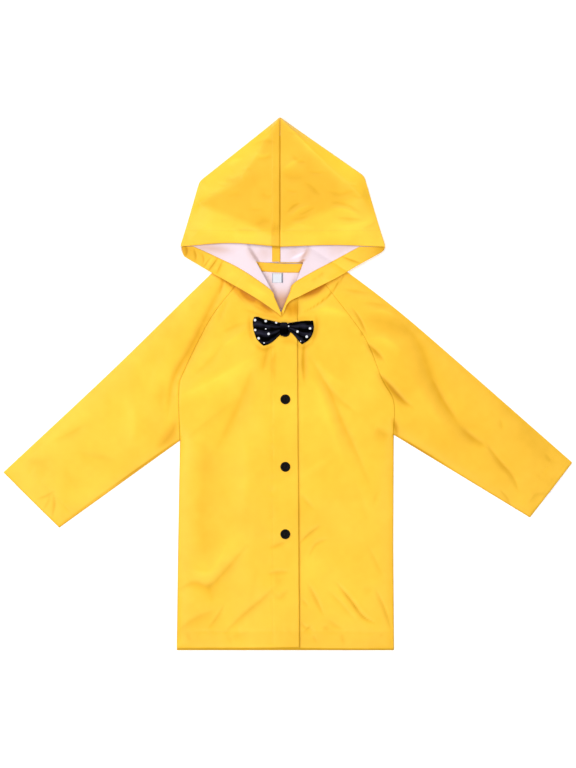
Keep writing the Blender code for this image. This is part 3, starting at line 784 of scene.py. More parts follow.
# over-and-under threads at a pitch under a film or fuzz, and a slow drift of the colour
def makeWeaveGroup():
    group, given, out = newGroup(
        "woven ground",
        [("Vector", "NodeSocketVector", None), ("Threads per metre", "NodeSocketFloat", 2200.0),
         ("Film scale", "NodeSocketFloat", 420.0), ("Film share", "NodeSocketFloat", 0.5)],
        [("Height", "NodeSocketFloat"), ("Drift", "NodeSocketFloat")])
    split = addNode(group, "ShaderNodeSeparateXYZ", {0: given["Vector"]})
    sines = []
    for axis in ("X", "Y"):
        turns = mathNode(group, "MULTIPLY", split.outputs[axis], given["Threads per metre"])
        sines.append(mathNode(group, "SINE", mathNode(group, "MULTIPLY", turns, math.pi)))
    threads = mathNode(group, "MULTIPLY", mathNode(group, "MULTIPLY", *sines), 0.5)
    film = addNode(group, "ShaderNodeTexNoise",
                   {"Vector": given["Vector"], "Scale": given["Film scale"], "Detail": 3})
    filmPart = mathNode(group, "MULTIPLY", film.outputs["Fac"], given["Film share"])
    left = mathNode(group, "SUBTRACT", 1.0, given["Film share"])
    threadPart = mathNode(group, "MULTIPLY", threads, left)
    give(group, out["Height"], mathNode(group, "ADD", filmPart, threadPart))
    drift = addNode(group, "ShaderNodeTexNoise",
                    {"Vector": given["Vector"], "Scale": 14, "Detail": 7, "Roughness": 0.6})
    give(group, out["Drift"], drift.outputs["Fac"])
    return group


wovenGround = makeWeaveGroup()


# the colour is multiplied toward a deep one as painted shade in folds, toward an orange one as
# painted bounce light, and lifted a little on ridges as a painted highlight
def makeDeeperGroup():
    group, given, out = newGroup(
        "deeper in folds",
        [("Color", "NodeSocketColor", None), ("Amount", "NodeSocketFloat", 0.0),
         ("Deep colour", "NodeSocketColor", (1, 1, 1, 1)), ("Bounce share", "NodeSocketFloat", 0.0),
         ("Bounce colour", "NodeSocketColor", (1, 1, 1, 1))],
        [("Color", "NodeSocketColor")])
    amount = addNode(group, "ShaderNodeClamp", {"Value": given["Amount"], "Min": -0.6, "Max": 1.3})
    fold = colourMix(group, given["Bounce share"], given["Deep colour"], given["Bounce colour"])
    factor = colourMix(group, amount.outputs["Result"], (1, 1, 1, 1), fold, clamp_factor=False)
    toned = colourMix(group, 1.0, given["Color"], factor, blend_type="MULTIPLY")
    give(group, out["Color"], toned)
    return group


deeperColour = makeDeeperGroup()


def clothMaterial(name, look):
    material, tree, shader = newMaterial(name)
    if look.get("by cut"):
        source = addNode(tree, "ShaderNodeUVMap", uv_map="cut").outputs["UV"]
    else:
        source = addNode(tree, "ShaderNodeTexCoord").outputs["Object"]
    ground = addNode(tree, "ShaderNodeGroup", node_tree=wovenGround, inputs={
        "Vector": source, "Threads per metre": look["threads"], "Film share": look["film"]})
    drift = ground.outputs["Drift"]
    folds, paintedBounce = (addNode(tree, "ShaderNodeAttribute", attribute_name=label).outputs["Fac"]
                   for label in ("paintedShade", "painted bounce light"))
    paintedFoldColour = look.get("paintedFoldColour", (1, 1, 1))
    toned = addNode(tree, "ShaderNodeGroup", node_tree=deeperColour, inputs={
        "Color": colourRamp(tree, drift, look["dark"], look["light"], 0.35, 0.65), "Amount": folds,
        "Deep colour": (*paintedFoldColour, 1), "Bounce share": paintedBounce, "Bounce colour": (*look.get("paintedBounce", paintedFoldColour), 1)})
    rough = addNode(tree, "ShaderNodeMapRange", {
        "Value": drift, "To Min": look["roughness"] - 0.05, "To Max": look["roughness"] + 0.05})
    for label, value in (("Base Color", toned.outputs["Color"]), ("Roughness", rough.outputs["Result"]),
                         ("Specular IOR Level", look.get("specular", 0.4)),
                         ("Sheen Weight", look.get("sheen", 0.0)),
                         ("Coat Roughness", look.get("coat roughness", 0.4))):
        give(tree, shader.inputs[label], value)
    if look.get("coat"):  # less shine down in the folds
        film = addNode(tree, "ShaderNodeMapRange", {"Value": folds, "To Min": look["coat"], "To Max": 0.0})
        give(tree, shader.inputs["Coat Weight"], film.outputs["Result"])
    addBump(tree, shader, ground.outputs["Height"], look["bump"], 0.0003)
    return material


# each look's fold colour is its painted shade in folds; the bounce colour is the orange of painted bounce
# light
looks = {
    "coatedYellow": {"dark": (0.89, 0.496, 0.022), "light": (0.94, 0.536, 0.030), "roughness": 0.40,
                     "paintedFoldColour": (0.71, 0.615, 0.03), "paintedBounce": (0.73, 0.56, 0.0),
                     "threads": 2400, "film": 0.6, "bump": 0.18, "specular": 0.18,
                     "coat": 0.20, "coat roughness": 0.35},
    "paleInside": {"dark": (0.762, 0.622, 0.676), "light": (0.792, 0.65, 0.705), "roughness": 0.5,
                   "paintedFoldColour": (0.80, 0.61, 0.45),
                   "threads": 2400, "film": 0.8, "bump": 0.12, "specular": 0.35},
    "seamTape": {"dark": (0.86, 0.46, 0.022), "light": (0.89, 0.49, 0.03), "roughness": 0.62,
                 "threads": 1500, "film": 0.15, "bump": 0.5, "specular": 0.25, "sheen": 0.1},
    "labelWhite": {"dark": (0.66, 0.68, 0.74), "light": (0.70, 0.72, 0.78), "roughness": 0.6,
                   "threads": 3000, "film": 0.1, "bump": 0.3},
    "yellowThread": {"dark": (0.84, 0.42, 0.018), "light": (0.90, 0.47, 0.03), "roughness": 0.5,
                     "threads": 5000, "film": 0.2, "bump": 0.2},
}
materials = {name: clothMaterial(name, look) for name, look in looks.items()}
yellow, inside = materials["coatedYellow"], materials["paleInside"]


def snapMaterial():
    material, tree, shader = newMaterial("blackSnap")
    place = addNode(tree, "ShaderNodeTexCoord").outputs["Object"]
    grain = addNode(tree, "ShaderNodeTexNoise", {"Vector": place, "Scale": 1800}).outputs["Fac"]
    give(tree, shader.inputs["Base Color"], colourRamp(
        tree, grain, (0.003, 0.002, 0.002), (0.006, 0.005, 0.005)))
    shader.inputs["Roughness"].default_value = 0.3
    shader.inputs["Specular IOR Level"].default_value = 0.06
    addBump(tree, shader, grain, 0.08, 0.0002)
    return material


# navy satin weave with white dots, whose edges are where the attribute is 1
def dottedMaterial():
    material = clothMaterial("dottedNavy", {
        "dark": (0.010, 0.010, 0.016), "light": (0.018, 0.018, 0.032), "roughness": 0.42,
        "paintedFoldColour": (0.04, 0.02, 0.02), "threads": 2600, "film": 0.1, "bump": 0.35, "specular": 0.01,
        "by cut": True})
    tree = material.node_tree
    away = addNode(tree, "ShaderNodeAttribute", attribute_name="to dot").outputs["Fac"]
    inDot = addNode(tree, "ShaderNodeMapRange", {"Value": away, "From Min": 1.12, "From Max": 0.88})
    overlay(tree, tree.nodes["Principled BSDF"], inDot.outputs["Result"], (0.74, 0.75, 0.78))
    return material


blackSnap, dottedNavy = snapMaterial(), dottedMaterial()
print("materials made")


# the coat's panels

# count + 1 points along a row of (first share, last share, chain) stretches
def rail(stretches, count):
    shares = np.concatenate([np.linspace(first, last, 61) for first, last, chain in stretches])
    points = np.vstack([resample(chain, 60) for first, last, chain in stretches])
    return atShares(np.linspace(0, 1, count + 1), shares, points)


def shifted(chain, dx, dy=0.0):
    return np.asarray(chain, float) + (dx, dy)


# area of a grid of points, in square metres
def cutArea(points):
    a = points[1:, 1:] - points[:-1, :-1]
    b = points[1:, :-1] - points[:-1, 1:]
    return float(np.linalg.norm(np.cross(a, b), axis=-1).sum() / 2 * mm * mm)


backShape = {
    "low edge": -399.8, "columns": 60, "rows": 110,
    "hem rows": 5, "hem top": -394, "painted hem shade": 0.3,  # the lowest rows of faces are the turned hem
    "flat": (0.324, 0.582), "area": 0.168,
}


def makeBack():
    low = [(coatCut["hem"][side][0], backShape["low edge"]) for side in (0, 1)]
    sides = [chainOf([low[side]], coat("side seam", side), raglanLine[side][1:-1],
                     [hoodCut["back neck"][side]]) for side in (0, 1)]
    spots = fourSided(low, hoodCut["back neck"], *sides, backShape["columns"], backShape["rows"])

    def height(spot):
        fromSide = np.maximum(insideBy(spot, coatOutline), 0)
        wave = 0.25 * (1 + rumple(spot, 30, 21)) * smoothStep(fromSide / 20)
        return layerHeights["floor layer"] + wave * (spot[..., 1] > 60)

    points = withHeight(spots, height)
    # painted shade on the pale side, and over the turned hem's rows
    shade = paintedInsideShade(spots) + backShape["painted hem shade"] * (spots[..., 1] < backShape["hem top"])
    piece = clothSheet("backPanel", points, inside, yellow, tint=shade)
    faceRows = np.arange(len(piece.data.polygons)) // backShape["columns"]
    piece.data.polygons.foreach_set("material_index", (faceRows < backShape["hem rows"]).astype(int))
    piece.modifiers["wall"].material_offset_rim = 1
    settle(piece, "back_panel")
    print("back", round(cutArea(points), 4))


lapShape = {
    "columns": 96, "rows": 250, "side inset": 0.15,
    "edge drop": (0.7, 0.2),  # how far the edge turns down, low and at the neck
    "painted edge shade": 0.4, "flat": (0.184, 0.583), "area": 0.094,
}
leftShape = {
    "columns": 92, "rows": 240, "over the sleeve": 0.35, "painted lap shadow": 0.45,
    "under the lap": ((-22, -396), (-22, -150), (-21, 92)),
    "flat": (0.181, 0.585), "area": 0.093,
}


# painted shadow beside the lap's edge, plainer toward the hem, which fades out above the bow
def paintedLapEdgeShade(spots, width):
    y = spots[..., 1]
    along = (0.25 + 0.75 * smoothStep((-110 - y) / 120)) * smoothStep((75 - y) / 20)
    return along * bell(awayFrom(spots, lapEdge), width)


def makeLapFront():
    side = shifted(chainOf([coat("hem", 0)], coat("side seam", 0), raglanLine[0][1:]),
                   lapShape["side inset"])
    neck = chainOf([side[-1]], coat("neck", 0)[1:], [(0, 125), lapEdge[-1]])
    spots = fourSided([side[0], lapEdge[0]], neck, side, lapEdge, lapShape["columns"], lapShape["rows"])

    def height(spot):
        low, high = lapShape["edge drop"]
        drop = low + (high - low) * atNeck(spot)
        return lapHeight(spot) - drop * fade(awayFrom(spot, lapEdge), 1.3)

    points = withHeight(spots, height)
    # painted shade along the lap's own edge
    tint = paintedCoatShadeAndDrift(spots) + lapShape["painted edge shade"] * paintedLapEdgeShade(spots, 0.9)
    piece = clothSheet("frontRightLap", points, yellow, inside, tint=tint)
    settle(piece, "front_right_lap")
    print("lap front", round(cutArea(points), 4))


def makeLeftFront():
    side = shifted(chainOf([coat("hem", 1)], coat("side seam", 1), raglanLine[1][1:]),
                   leftShape["over the sleeve"])
    under = np.array(leftShape["under the lap"], float)
    neck = chainOf([under[-1]], coat("neck", 1)[:0:-1], [side[-1]])
    spots = fourSided([under[0], side[0]], neck, under, side, leftShape["columns"], leftShape["rows"])
    points = withHeight(spots, plainHeight)
    points[..., 2] += 0.25 * fade(awayFrom(spots, raglanLine[1]), 2.5)
    # painted shadow that the lap's edge casts on this front
    tint = paintedCoatShadeAndDrift(spots) + leftShape["painted lap shadow"] * paintedLapEdgeShade(spots, 1.8)
    piece = clothSheet("frontLeft", points, yellow, inside, tint=tint)
    settle(piece, "front_left")
    print("left front", round(cutArea(points), 4))


paintedInnerShade = (  # painted shade on the pale side (a negative amount is a painted highlight): points, half width, two heights, amount
    (((-61, 206), (-52, 192), (-45, 182)), 6, 0, 0, 0.45), (((-44, 204), (-26, 190)), 14, 0, 0, 0.35),
    (((2, 205), (16, 192)), 12, 0, 0, 0.30), (((32, 206), (26, 195), (18, 185)), 5, 0, 0, 0.85),
    (((14, 180), (20, 183), (26, 187)), 2.2, 0, 0, 2.0),
    (((4, 188), (16, 193), (27, 199)), 2.5, 0, 0, -0.7),
    (((-150, 207), (-120, 204), (-84, 200)), 9, 0, 0, 0.75),
    (((112, 207), (84, 204), (52, 204)), 6, 0, 0, 0.35),
    (((84, 202), (72, 196), (58, 196)), 7, 0, 0, 0.2),
    (((-34, 168), (-26, 152), (-18, 136)), 3, 0, 0, 0.6),
    (((12, 168), (6, 150), (0, 136)), 3, 0, 0, 0.35),
)


# painted shade on the pale side: warmer and deeper in its shaded places and down in the neck's tip
def paintedInsideShade(spots):
    x, y = spots[..., 0], spots[..., 1]
    neckTip = (np.abs(x + 12) < 30) * smoothStep((152 - y) / 34) * smoothStep((y - 108) / 7)
    return creased(spots, paintedInnerShade)[1] + 1.6 * neckTip


def noTint(spots):
    return np.zeros(spots.shape[:-1])


# a sheet folded along one edge. Each chain has one point a row; heights, columns and tints are
# (lower, upper), and ends the chains that the two last rows follow
def foldedSheet(name, under, foldUnder, foldUpper, upper, heights, columns, reach, tints, ends=None):
    turnSteps = 7
    radius = reach / 2

    def layer(fold, inner, height, count, end):
        inward = unit(inner - fold)
        turned = fold + inward * radius
        share = np.linspace(0, 1, count + 1) ** 0.85  # columns crowd toward the fold
        spots = turned[:, None] * (1 - share[None, :, None]) + inner[:, None] * share[None, :, None]
        if end is not None:
            wanted = atShares(share, np.linspace(0, 1, 401), resample(end, 400))
            bend = np.linspace(0, 1, len(fold))[:, None, None] ** 5
            spots = spots + bend * (wanted - spots[-1])[None]
        return inward, withHeight(spots, height)

    inUnder, lowPoints = layer(foldUnder, under, heights[0], columns[0], ends and ends[0])
    inUpper, highPoints = layer(foldUpper, upper, heights[1], columns[1], ends and ends[1])
    angle = np.linspace(0, math.pi, turnSteps + 2)[None, 1:-1, None]
    mixed = (1 - np.cos(angle)) / 2
    turn = lowPoints[:, :1] * (1 - mixed) + highPoints[:, :1] * mixed
    turn[..., :2] -= (inUnder + inUpper)[:, None] / 2 * radius * np.sin(angle)
    points = np.concatenate([lowPoints[:, ::-1], turn, highPoints], axis=1)
    steps = [np.linalg.norm(np.diff(points, axis=axis), axis=-1).mean(1 - axis) for axis in (0, 1)]
    along, across = (np.concatenate([[0], np.cumsum(step)]) for step in steps)
    uv = np.stack(np.broadcast_arrays(across[None, :], along[:, None]), -1)
    tint = np.zeros(points.shape[:-1])
    tint[:, -highPoints.shape[1]:] = tints[1](highPoints[..., :2])
    tint[:, :lowPoints.shape[1]] = tints[0](lowPoints[:, ::-1, :2])
    piece = meshObject(name, points, gridFaces(points, highPoints), [yellow, inside], uv=uv, tint=tint)
    addWall(piece, cloth)
    print(name, "area", round(cutArea(points), 4))
    return piece


sleeveShape = {
    "rows": 210, "columns": (26, 96),  # of the lower and the upper layer
    "shoulder share": 0.56,  # the share of the rows along the raglan, above the elbow's bend
    "under height": 0.03, "reach": 1.2,  # of the lower layer, and the fold's outside height
    "cuff puckers": 0.45, "flat": (0.33, 0.48), "area": 0.094,
}


def makeSleeve(side, name, node):
    rows, share = sleeveShape["rows"], sleeveShape["shoulder share"]
    fine = resample(overarmLine[side], 600)
    elbow = int(np.argmin(np.hypot(*(fine - coatCut["overarm"][side][-2]).T)))
    fold = rail([(0, share, fine[: elbow + 1]), (share, 1, fine[elbow:])], rows)
    seam = rail([(0, share, raglanLine[side][::-1]), (share, 1, coatCut["underarm"][side])], rows)

    def underHeight(spot):
        return np.full(spot.shape[:-1], sleeveShape["under height"])

    def topSide(spot):
        fromCuff = awayFrom(spot, [fold[-1], seam[-1]])
        puckers = sleeveShape["cuff puckers"] * rumple(spot, 13, 81 + side) * fade(fromCuff, 16)
        return plainHeight(spot) + puckers

    piece = foldedSheet(name, seam, fold, fold, seam, (underHeight, topSide), sleeveShape["columns"],
                        sleeveShape["reach"], (noTint, paintedCoatShadeAndDrift))
    settle(piece, node)


hoodPanel = {
    "rows": 150, "columns": (70, 100),  # of the lower and the upper layer
    "seam gap": 0.12, "peak": (1.0, -0.6),  # how far the peak is held in from the cut's
    "shoulder share": 0.42, "corner share": 0.955,  # how far down the rows each comes
    # places along the centre seam: the lower layer's three, then the upper layer's two
    "crown": 397, "back of head": 282, "back neck": 182.3, "top": 398, "mouth": 205.5,
    "flat": (0.34, 0.32), "area": 0.048,
}


def makeHood(side, name, node):
    rows, neckLine = hoodPanel["rows"], hoodPanel["back neck"]
    middle = hoodCut["seam x"] + outward[side] * hoodPanel["seam gap"]
    peak = np.array(hoodCut["peak"], float) + (outward[side] * hoodPanel["peak"][0], hoodPanel["peak"][1])
    corner, freeEdge = hoodCut["corner"][side], hoodCut["free edge"][side]
    bend = roundedCorner(peak, hoodCut["shoulder"][side], corner, 6)
    crown, cheek = chainOf([peak], bend[:4]), chainOf(bend[3:], [corner])
    shoulderShare, cornerShare = hoodPanel["shoulder share"], hoodPanel["corner share"]
    foldUpper = rail([(0, shoulderShare, crown), (shoulderShare, 1, cheek)], rows)
    foldUnder = rail([(0, shoulderShare, crown), (shoulderShare, cornerShare, cheek),
                      (cornerShare, 1, [corner, freeEdge[0]])], rows)
    neckEnd = hoodCut["back neck"][side]
    seam = [(middle, hoodPanel["crown"]), (middle, hoodPanel["back of head"]), (middle, neckLine)]
    under = rail([(0, 0.34, seam[:2]), (0.34, 0.6, seam[1:]), (0.6, 0.74, [seam[2], (neckEnd[0], neckLine)]),
                  (0.74, 1, chainOf([neckEnd], coat("neck", side)[1:], [freeEdge[-1]]))], rows)
    down = np.linspace(hoodPanel["top"], hoodPanel["mouth"], rows + 1)
    centreTop = np.stack([np.full(rows + 1, middle), down], -1)
    piece = foldedSheet(
        name, under, foldUnder, foldUpper, centreTop,
        (lambda spot: hoodUnderHeight(spot) - cloth, hoodTopHeight), hoodPanel["columns"],
        hoodShape["fold"], (paintedInsideShade, paintedHoodShadeAndDrift), (curveThrough(freeEdge), faceEdges[side][::-1]))
    settle(piece, node)


# the hood band's creases, in the coat's columns, with painted shade in the folds
flapCreases = (
    (((-153, 207), (-151, 200), (-153, 192)), 2.2, 0.9, 0.3, 0.8),
    (((-141, 203), (-138, 193), (-138, 184)), 2.2, 0.7, 0.3, 0.8),
    (((-129, 197), (-126, 187), (-128, 178)), 2.0, 0.6, 0.3, 0.6),
    (((-120, 169), (-112, 180), (-105, 190)), 2.0, 0.9, 0.4, 1.1),
    (((-125, 171), (-118, 182), (-111, 191)), 2.4, -0.9, 0.4, -0.5),
    (((-128, 173), (-122, 182), (-116, 190)), 1.6, 0.5, 0.4, 0.6),
    (((-107, 165), (-103, 175), (-98, 185)), 2.0, 0.8, 0.3, 0.9),
    (((-90, 160), (-80, 172)), 6.0, -0.4, 0.2, -0.2),
    (((-60, 150), (-44, 140), (-28, 131)), 8.0, -0.5, 0.2, -0.4),
    (((80, 192), (92, 187), (110, 181)), 2.2, 0.9, 0.5, 0.9),
    (((44, 160), (54, 168)), 4.0, 0.4, 0.2, 0.4),
    (((34, 154), (44, 160)), 4.0, 0.4, 0.2, 0.3),
)


flapHem = {
    "rows": 150, "columns": 22, "past the edge": 0.25, "lift": 1.0, "least lift": 0.5,
    "painted corner shade": ((0.5, 16), (0.55, 42)), "painted edge shade": 0.25, "all over": -0.1,
    "flat": (0.175, 0.026), "area": 0.0036,
}


# the turned hem of the hood, seen on the flap's inner side
def makeFlapHem(side, name, node):
    rows = flapHem["rows"]
    inner = curveThrough(hoodCut["hem edge"][side])
    freeEdge = resample(chainOf([hoodCut["corner"][side]], curveThrough(hoodCut["free edge"][side])), rows)
    innerEdge = resample(inner, rows)
    pull = smoothStep(np.linspace(0, 1, rows + 1) * 12)[:, None]
    freeEdge = freeEdge - unit(innerEdge - freeEdge) * flapHem["past the edge"] * pull
    spots = between(freeEdge, innerEdge, flapHem["columns"])
    pressed, tint = creased(spots, flapCreases)
    toEdge = awayFrom(spots, inner)
    lift = flapHem["lift"] + 0.30 * rumple(spots, 12, 91 + side) - 0.7 * pressed
    lift = np.maximum(lift, flapHem["least lift"]) - 0.25 * fade(toEdge, 0.9)
    points = withHeight(spots, lambda spot: hoodUnderHeight(spot) + lift)
    # painted shade at the band's corners and along its inner edge, and a little lighter all over
    corner = np.hypot(*(spots - hoodCut["corner"][side]).transpose(2, 0, 1))
    for amount, width in flapHem["painted corner shade"]:
        tint = tint + amount * bell(corner, width)
    tint = tint + flapHem["painted edge shade"] * bell(toEdge, 1.0) + flapHem["all over"]
    piece = clothSheet(name, points, yellow, inside, tint=tint)
    settle(piece, node)
    print(name, round(cutArea(points), 4))


makeBack()
makeLeftFront()
makeLapFront()
for make, name, node in ((makeSleeve, "sleeve", "sleeve"), (makeHood, "hood", "hood"),
                         (makeFlapHem, "flapHem", "hood_hem")):
    make(wearerRight, name + "Right", node + "_right")
    make(wearerLeft, name + "Left", node + "_left")
print("panels made")


# tapes, label and stitches

tapes = {  # lift is how far each stands over what it lies on
    "neck": {"top": ((-48, 182.6), (24, 179.4)), "bottom": ((-40, 168.4), (16, 166.4)), "bow": 1.2,
             "lift": 0.8},
    "seam": {"left": -24.0, "right": -11.5, "low": 183.5, "high": 372, "lift": 0.5},
    "label": {"left": -23.8, "right": -7.8, "low": 152, "high": 166.4, "lift": 1.0,
              "line": (0.7, 0.5), "bar": (1.1, 1.5)},  # how far in from the left and the right, and width
}


# a narrow strip that lies on the back panel or the hood's lower layer
def flatStrip(name, spots, lift, outer, node):
    def height(spot):
        below = np.where(spot[..., 1] > 182, hoodUnderHeight(spot), layerHeights["floor layer"] + 0.3)
        return below + lift + 0.08 * rumple(spot, 9, 101)

    points = withHeight(spots, height)
    piece = clothSheet(name, points, outer, outer, thick=0.4)
    settle(piece, node)


def uprightStrip(size, rows, columns):
    sides = [resample([(x, size["low"]), (x, size["high"])], rows) for x in (size["left"], size["right"])]
    return between(*sides, columns)


def makeTapes():
    tape, neck = materials["seamTape"], tapes["neck"]
    rows = between(resample(neck["bottom"], 60), resample(neck["top"], 60), 10)
    rows[..., 1] += neck["bow"] * np.sin((rows[..., 0] + 12) / 30) ** 2
    flatStrip("neckTape", rows, neck["lift"], tape, "neck_tape")
    seam, label = tapes["seam"], tapes["label"]
    flatStrip("hoodSeamTape", uprightStrip(seam, 120, 8), seam["lift"], tape,
              "hood_seam_tape")
    flatStrip("sizeLabel", uprightStrip(label, 14, 16), label["lift"], labelMaterial(),
              "size_label")


# white woven ground with a thin dark line at one side and a bar at the other
def labelMaterial():
    size = tapes["label"]
    material = materials["labelWhite"]
    tree = material.node_tree
    place = addNode(tree, "ShaderNodeTexCoord").outputs["Object"]
    across = addNode(tree, "ShaderNodeSeparateXYZ", {0: place}).outputs["X"]
    masks = []
    (lineIn, lineWidth), (barIn, barWidth) = size["line"], size["bar"]
    for centre, width in ((size["left"] + lineIn, lineWidth), (size["right"] - barIn, barWidth)):
        off = mathNode(tree, "ABSOLUTE", mathNode(tree, "SUBTRACT", across, centre * mm))
        masks.append(mathNode(tree, "LESS_THAN", off, width / 2 * mm))
    both = mathNode(tree, "MAXIMUM", *masks)
    overlay(tree, tree.nodes["Principled BSDF"], both, (0.06, 0.09, 0.16))
    return material


stitchSize = {"Pitch": 3.1, "Length": 2.4, "Thickness": 0.42}  # in millimetres


# lays stitches end to end along the edges of a mesh
def makeStitchTree():
    tree = bpy.data.node_groups.new("stitches along a path", "GeometryNodeTree")
    face = tree.interface
    face.new_socket(name="Path", in_out="INPUT", socket_type="NodeSocketGeometry")
    for label, size in stitchSize.items():
        socket = face.new_socket(name=label, in_out="INPUT", socket_type="NodeSocketFloat")
        socket.default_value = size * mm
    face.new_socket(name="Thread", in_out="INPUT", socket_type="NodeSocketMaterial")
    face.new_socket(name="Stitches", in_out="OUTPUT", socket_type="NodeSocketGeometry")
    nodes, links = tree.nodes, tree.links
    given, out = nodes.new("NodeGroupInput"), nodes.new("NodeGroupOutput")
    path = nodes.new("GeometryNodeMeshToCurve")
    even = nodes.new("GeometryNodeResampleCurve")
    even.mode = "LENGTH"
    tangent = nodes.new("GeometryNodeInputTangent")
    turn = nodes.new("FunctionNodeAlignRotationToVector")
    turn.axis = "X"
    ball = nodes.new("GeometryNodeMeshUVSphere")
    ball.inputs["Segments"].default_value = 6
    ball.inputs["Rings"].default_value = 5
    ball.inputs["Radius"].default_value = 0.5
    size = nodes.new("ShaderNodeCombineXYZ")
    shape = nodes.new("GeometryNodeTransform")
    place = nodes.new("GeometryNodeInstanceOnPoints")
    real = nodes.new("GeometryNodeRealizeInstances")
    smooth = nodes.new("GeometryNodeSetShadeSmooth")
    thread = nodes.new("GeometryNodeSetMaterial")
    for start, end in (
            (given.outputs["Path"], path.inputs["Mesh"]),
            (path.outputs["Curve"], even.inputs["Curve"]),
            (given.outputs["Pitch"], even.inputs["Length"]),
            (tangent.outputs["Tangent"], turn.inputs["Vector"]),
            (given.outputs["Length"], size.inputs["X"]),
            (given.outputs["Thickness"], size.inputs["Y"]),
            (given.outputs["Thickness"], size.inputs["Z"]),
            (size.outputs["Vector"], shape.inputs["Scale"]),
            (ball.outputs["Mesh"], shape.inputs["Geometry"]),
            (even.outputs["Curve"], place.inputs["Points"]),
            (shape.outputs["Geometry"], place.inputs["Instance"]),
            (turn.outputs["Rotation"], place.inputs["Rotation"]),
            (place.outputs["Instances"], real.inputs["Geometry"]),
            (real.outputs["Geometry"], smooth.inputs["Geometry"]),
            (smooth.outputs["Geometry"], thread.inputs["Geometry"]),
            (given.outputs["Thread"], thread.inputs["Material"]),
            (thread.outputs["Geometry"], out.inputs["Stitches"])):
        links.new(start, end)
    return tree


def bandStitchLine(side):
    inner = resample(curveThrough(hoodCut["hem edge"][side]), 80)
    outer = resample(curveThrough(hoodCut["free edge"][side]), 80)
    return (inner + unit(outer - inner) * 2.0)[2:-4]


def bandHeight(spot):
    return hoodUnderHeight(spot) + 0.9


def makeStitches():
    seam, neck, label = tapes["seam"], tapes["neck"], tapes["label"]

    def onTape(spot):
        low = np.where(spot[..., 1] > 182, hoodUnderHeight(spot) + 0.6, layerHeights["floor layer"] + 1.4)
        return low + 0.05

    runs = [
        (stitchLines["hem right"], plainHeight), (stitchLines["hem lap"], lapHeight),
        (stitchLines["hem left"], plainHeight), (stitchLines["cuff right"], plainHeight),
        (stitchLines["cuff left"], plainHeight), (coatCut["lap stitch"], lapHeight),
        (((-151, 230), (-80, 229.6), (-12.8, 229)), hoodTopHeight),
        (((-11.2, 229), (60, 229.6), (136, 230)), hoodTopHeight),
        (bandStitchLine(0), bandHeight), (bandStitchLine(1), bandHeight),
        (((seam["left"] + 1.5, 187), (seam["left"] + 1.5, 240)), onTape),
        (((seam["right"] - 1.5, 187), (seam["right"] - 1.5, 240)), onTape),
        (shifted(neck["bottom"], 0, 1.6), onTape),
        (((label["left"] + 1.5, label["high"] - 1.2), (label["right"] - 1.5, label["high"] - 1.2)), onTape),
    ]
    points, edges = [], []
    for chain, height in runs:
        spots = resample(chain, max(int(runsOf(chain).sum() / 2.0), 2))
        first = len(points)
        points += (withHeight(spots, height) * mm).tolist()
        edges += [(first + k, first + k + 1) for k in range(len(spots) - 1)]
    mesh = bpy.data.meshes.new("stitchPaths")
    mesh.from_pydata(points, edges, [])
    path = newObject("stitchPaths", mesh)
    modifier = path.modifiers.new("stitches", "NODES")
    modifier.node_group = makeStitchTree()
    socket = {item.name: item.identifier for item in modifier.node_group.interface.items_tree}
    for label, size in stitchSize.items():
        modifier[socket[label]] = size * mm
    modifier[socket["Thread"]] = materials["yellowThread"]
    graph = bpy.context.evaluated_depsgraph_get()
    piece = newObject("stitching", bpy.data.meshes.new_from_object(path.evaluated_get(graph)))
    bpy.data.objects.remove(path)
    print("stitching", len(piece.data.polygons), "faces")
    settle(piece, None)


# snaps

snapLook = {"turns": 40, "sunk": 0.25}  # flats round the cap, and how far it is pressed into the cloth
snapProfile = (  # radius and height over the cap's foot, out from the middle
    (0.0, 1.75), (1.1, 1.75), (1.5, 1.55), (1.8, 1.1), (2.4, 1.05), (3.6, 1.1), (4.1, 1.3),
    (4.5, 1.95), (5.2, 2.35), (6.0, 2.4), (6.8, 2.1), (7.3, 1.5), (7.5, 0.7), (7.45, 0.0))


# a profile turned about a vertical line, closed underneath
def turnedPiece(name, centre, foot, profile, turns, material):
    angles = np.linspace(0, 2 * math.pi, turns, endpoint=False)
    points = [(centre[0], centre[1], foot + profile[0][1])]
    for radius, height in profile[1:]:
        points += [(centre[0] + radius * math.cos(a), centre[1] + radius * math.sin(a), foot + height)
                   for a in angles]
    ring = [[1 + r * turns + k for k in range(turns)] for r in range(len(profile) - 1)]
    faces = [(0, ring[0][k], ring[0][(k + 1) % turns]) for k in range(turns)]
    for inner, outer in zip(ring, ring[1:]):
        faces += [(inner[k], outer[k], outer[(k + 1) % turns], inner[(k + 1) % turns])
                  for k in range(turns)]
    faces.append(ring[-1][::-1])
    piece = meshObject(name, points, faces, [material])
    round_ = piece.modifiers.new("round", "SUBSURF")
    round_.levels = round_.render_levels = 1
    return piece


def makeSnaps():
    for number in range(1, 5):
        low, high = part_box(f"snap_cap_{number}")
        centre = ((low[0] + high[0]) / 2 / mm, (low[1] + high[1]) / 2 / mm)
        foot = float(lapHeight(np.array([centre]))[0]) - snapLook["sunk"]
        name = f"snapCap{number}"
        piece = turnedPiece(name, centre, foot, snapProfile, snapLook["turns"], blackSnap)
        settle(piece, f"snap_cap_{number}")
        stud = bpy.data.objects[f"snap_stud_{number}"]
        stud.data.materials.clear()
        stud.data.materials.append(blackSnap)


# bow

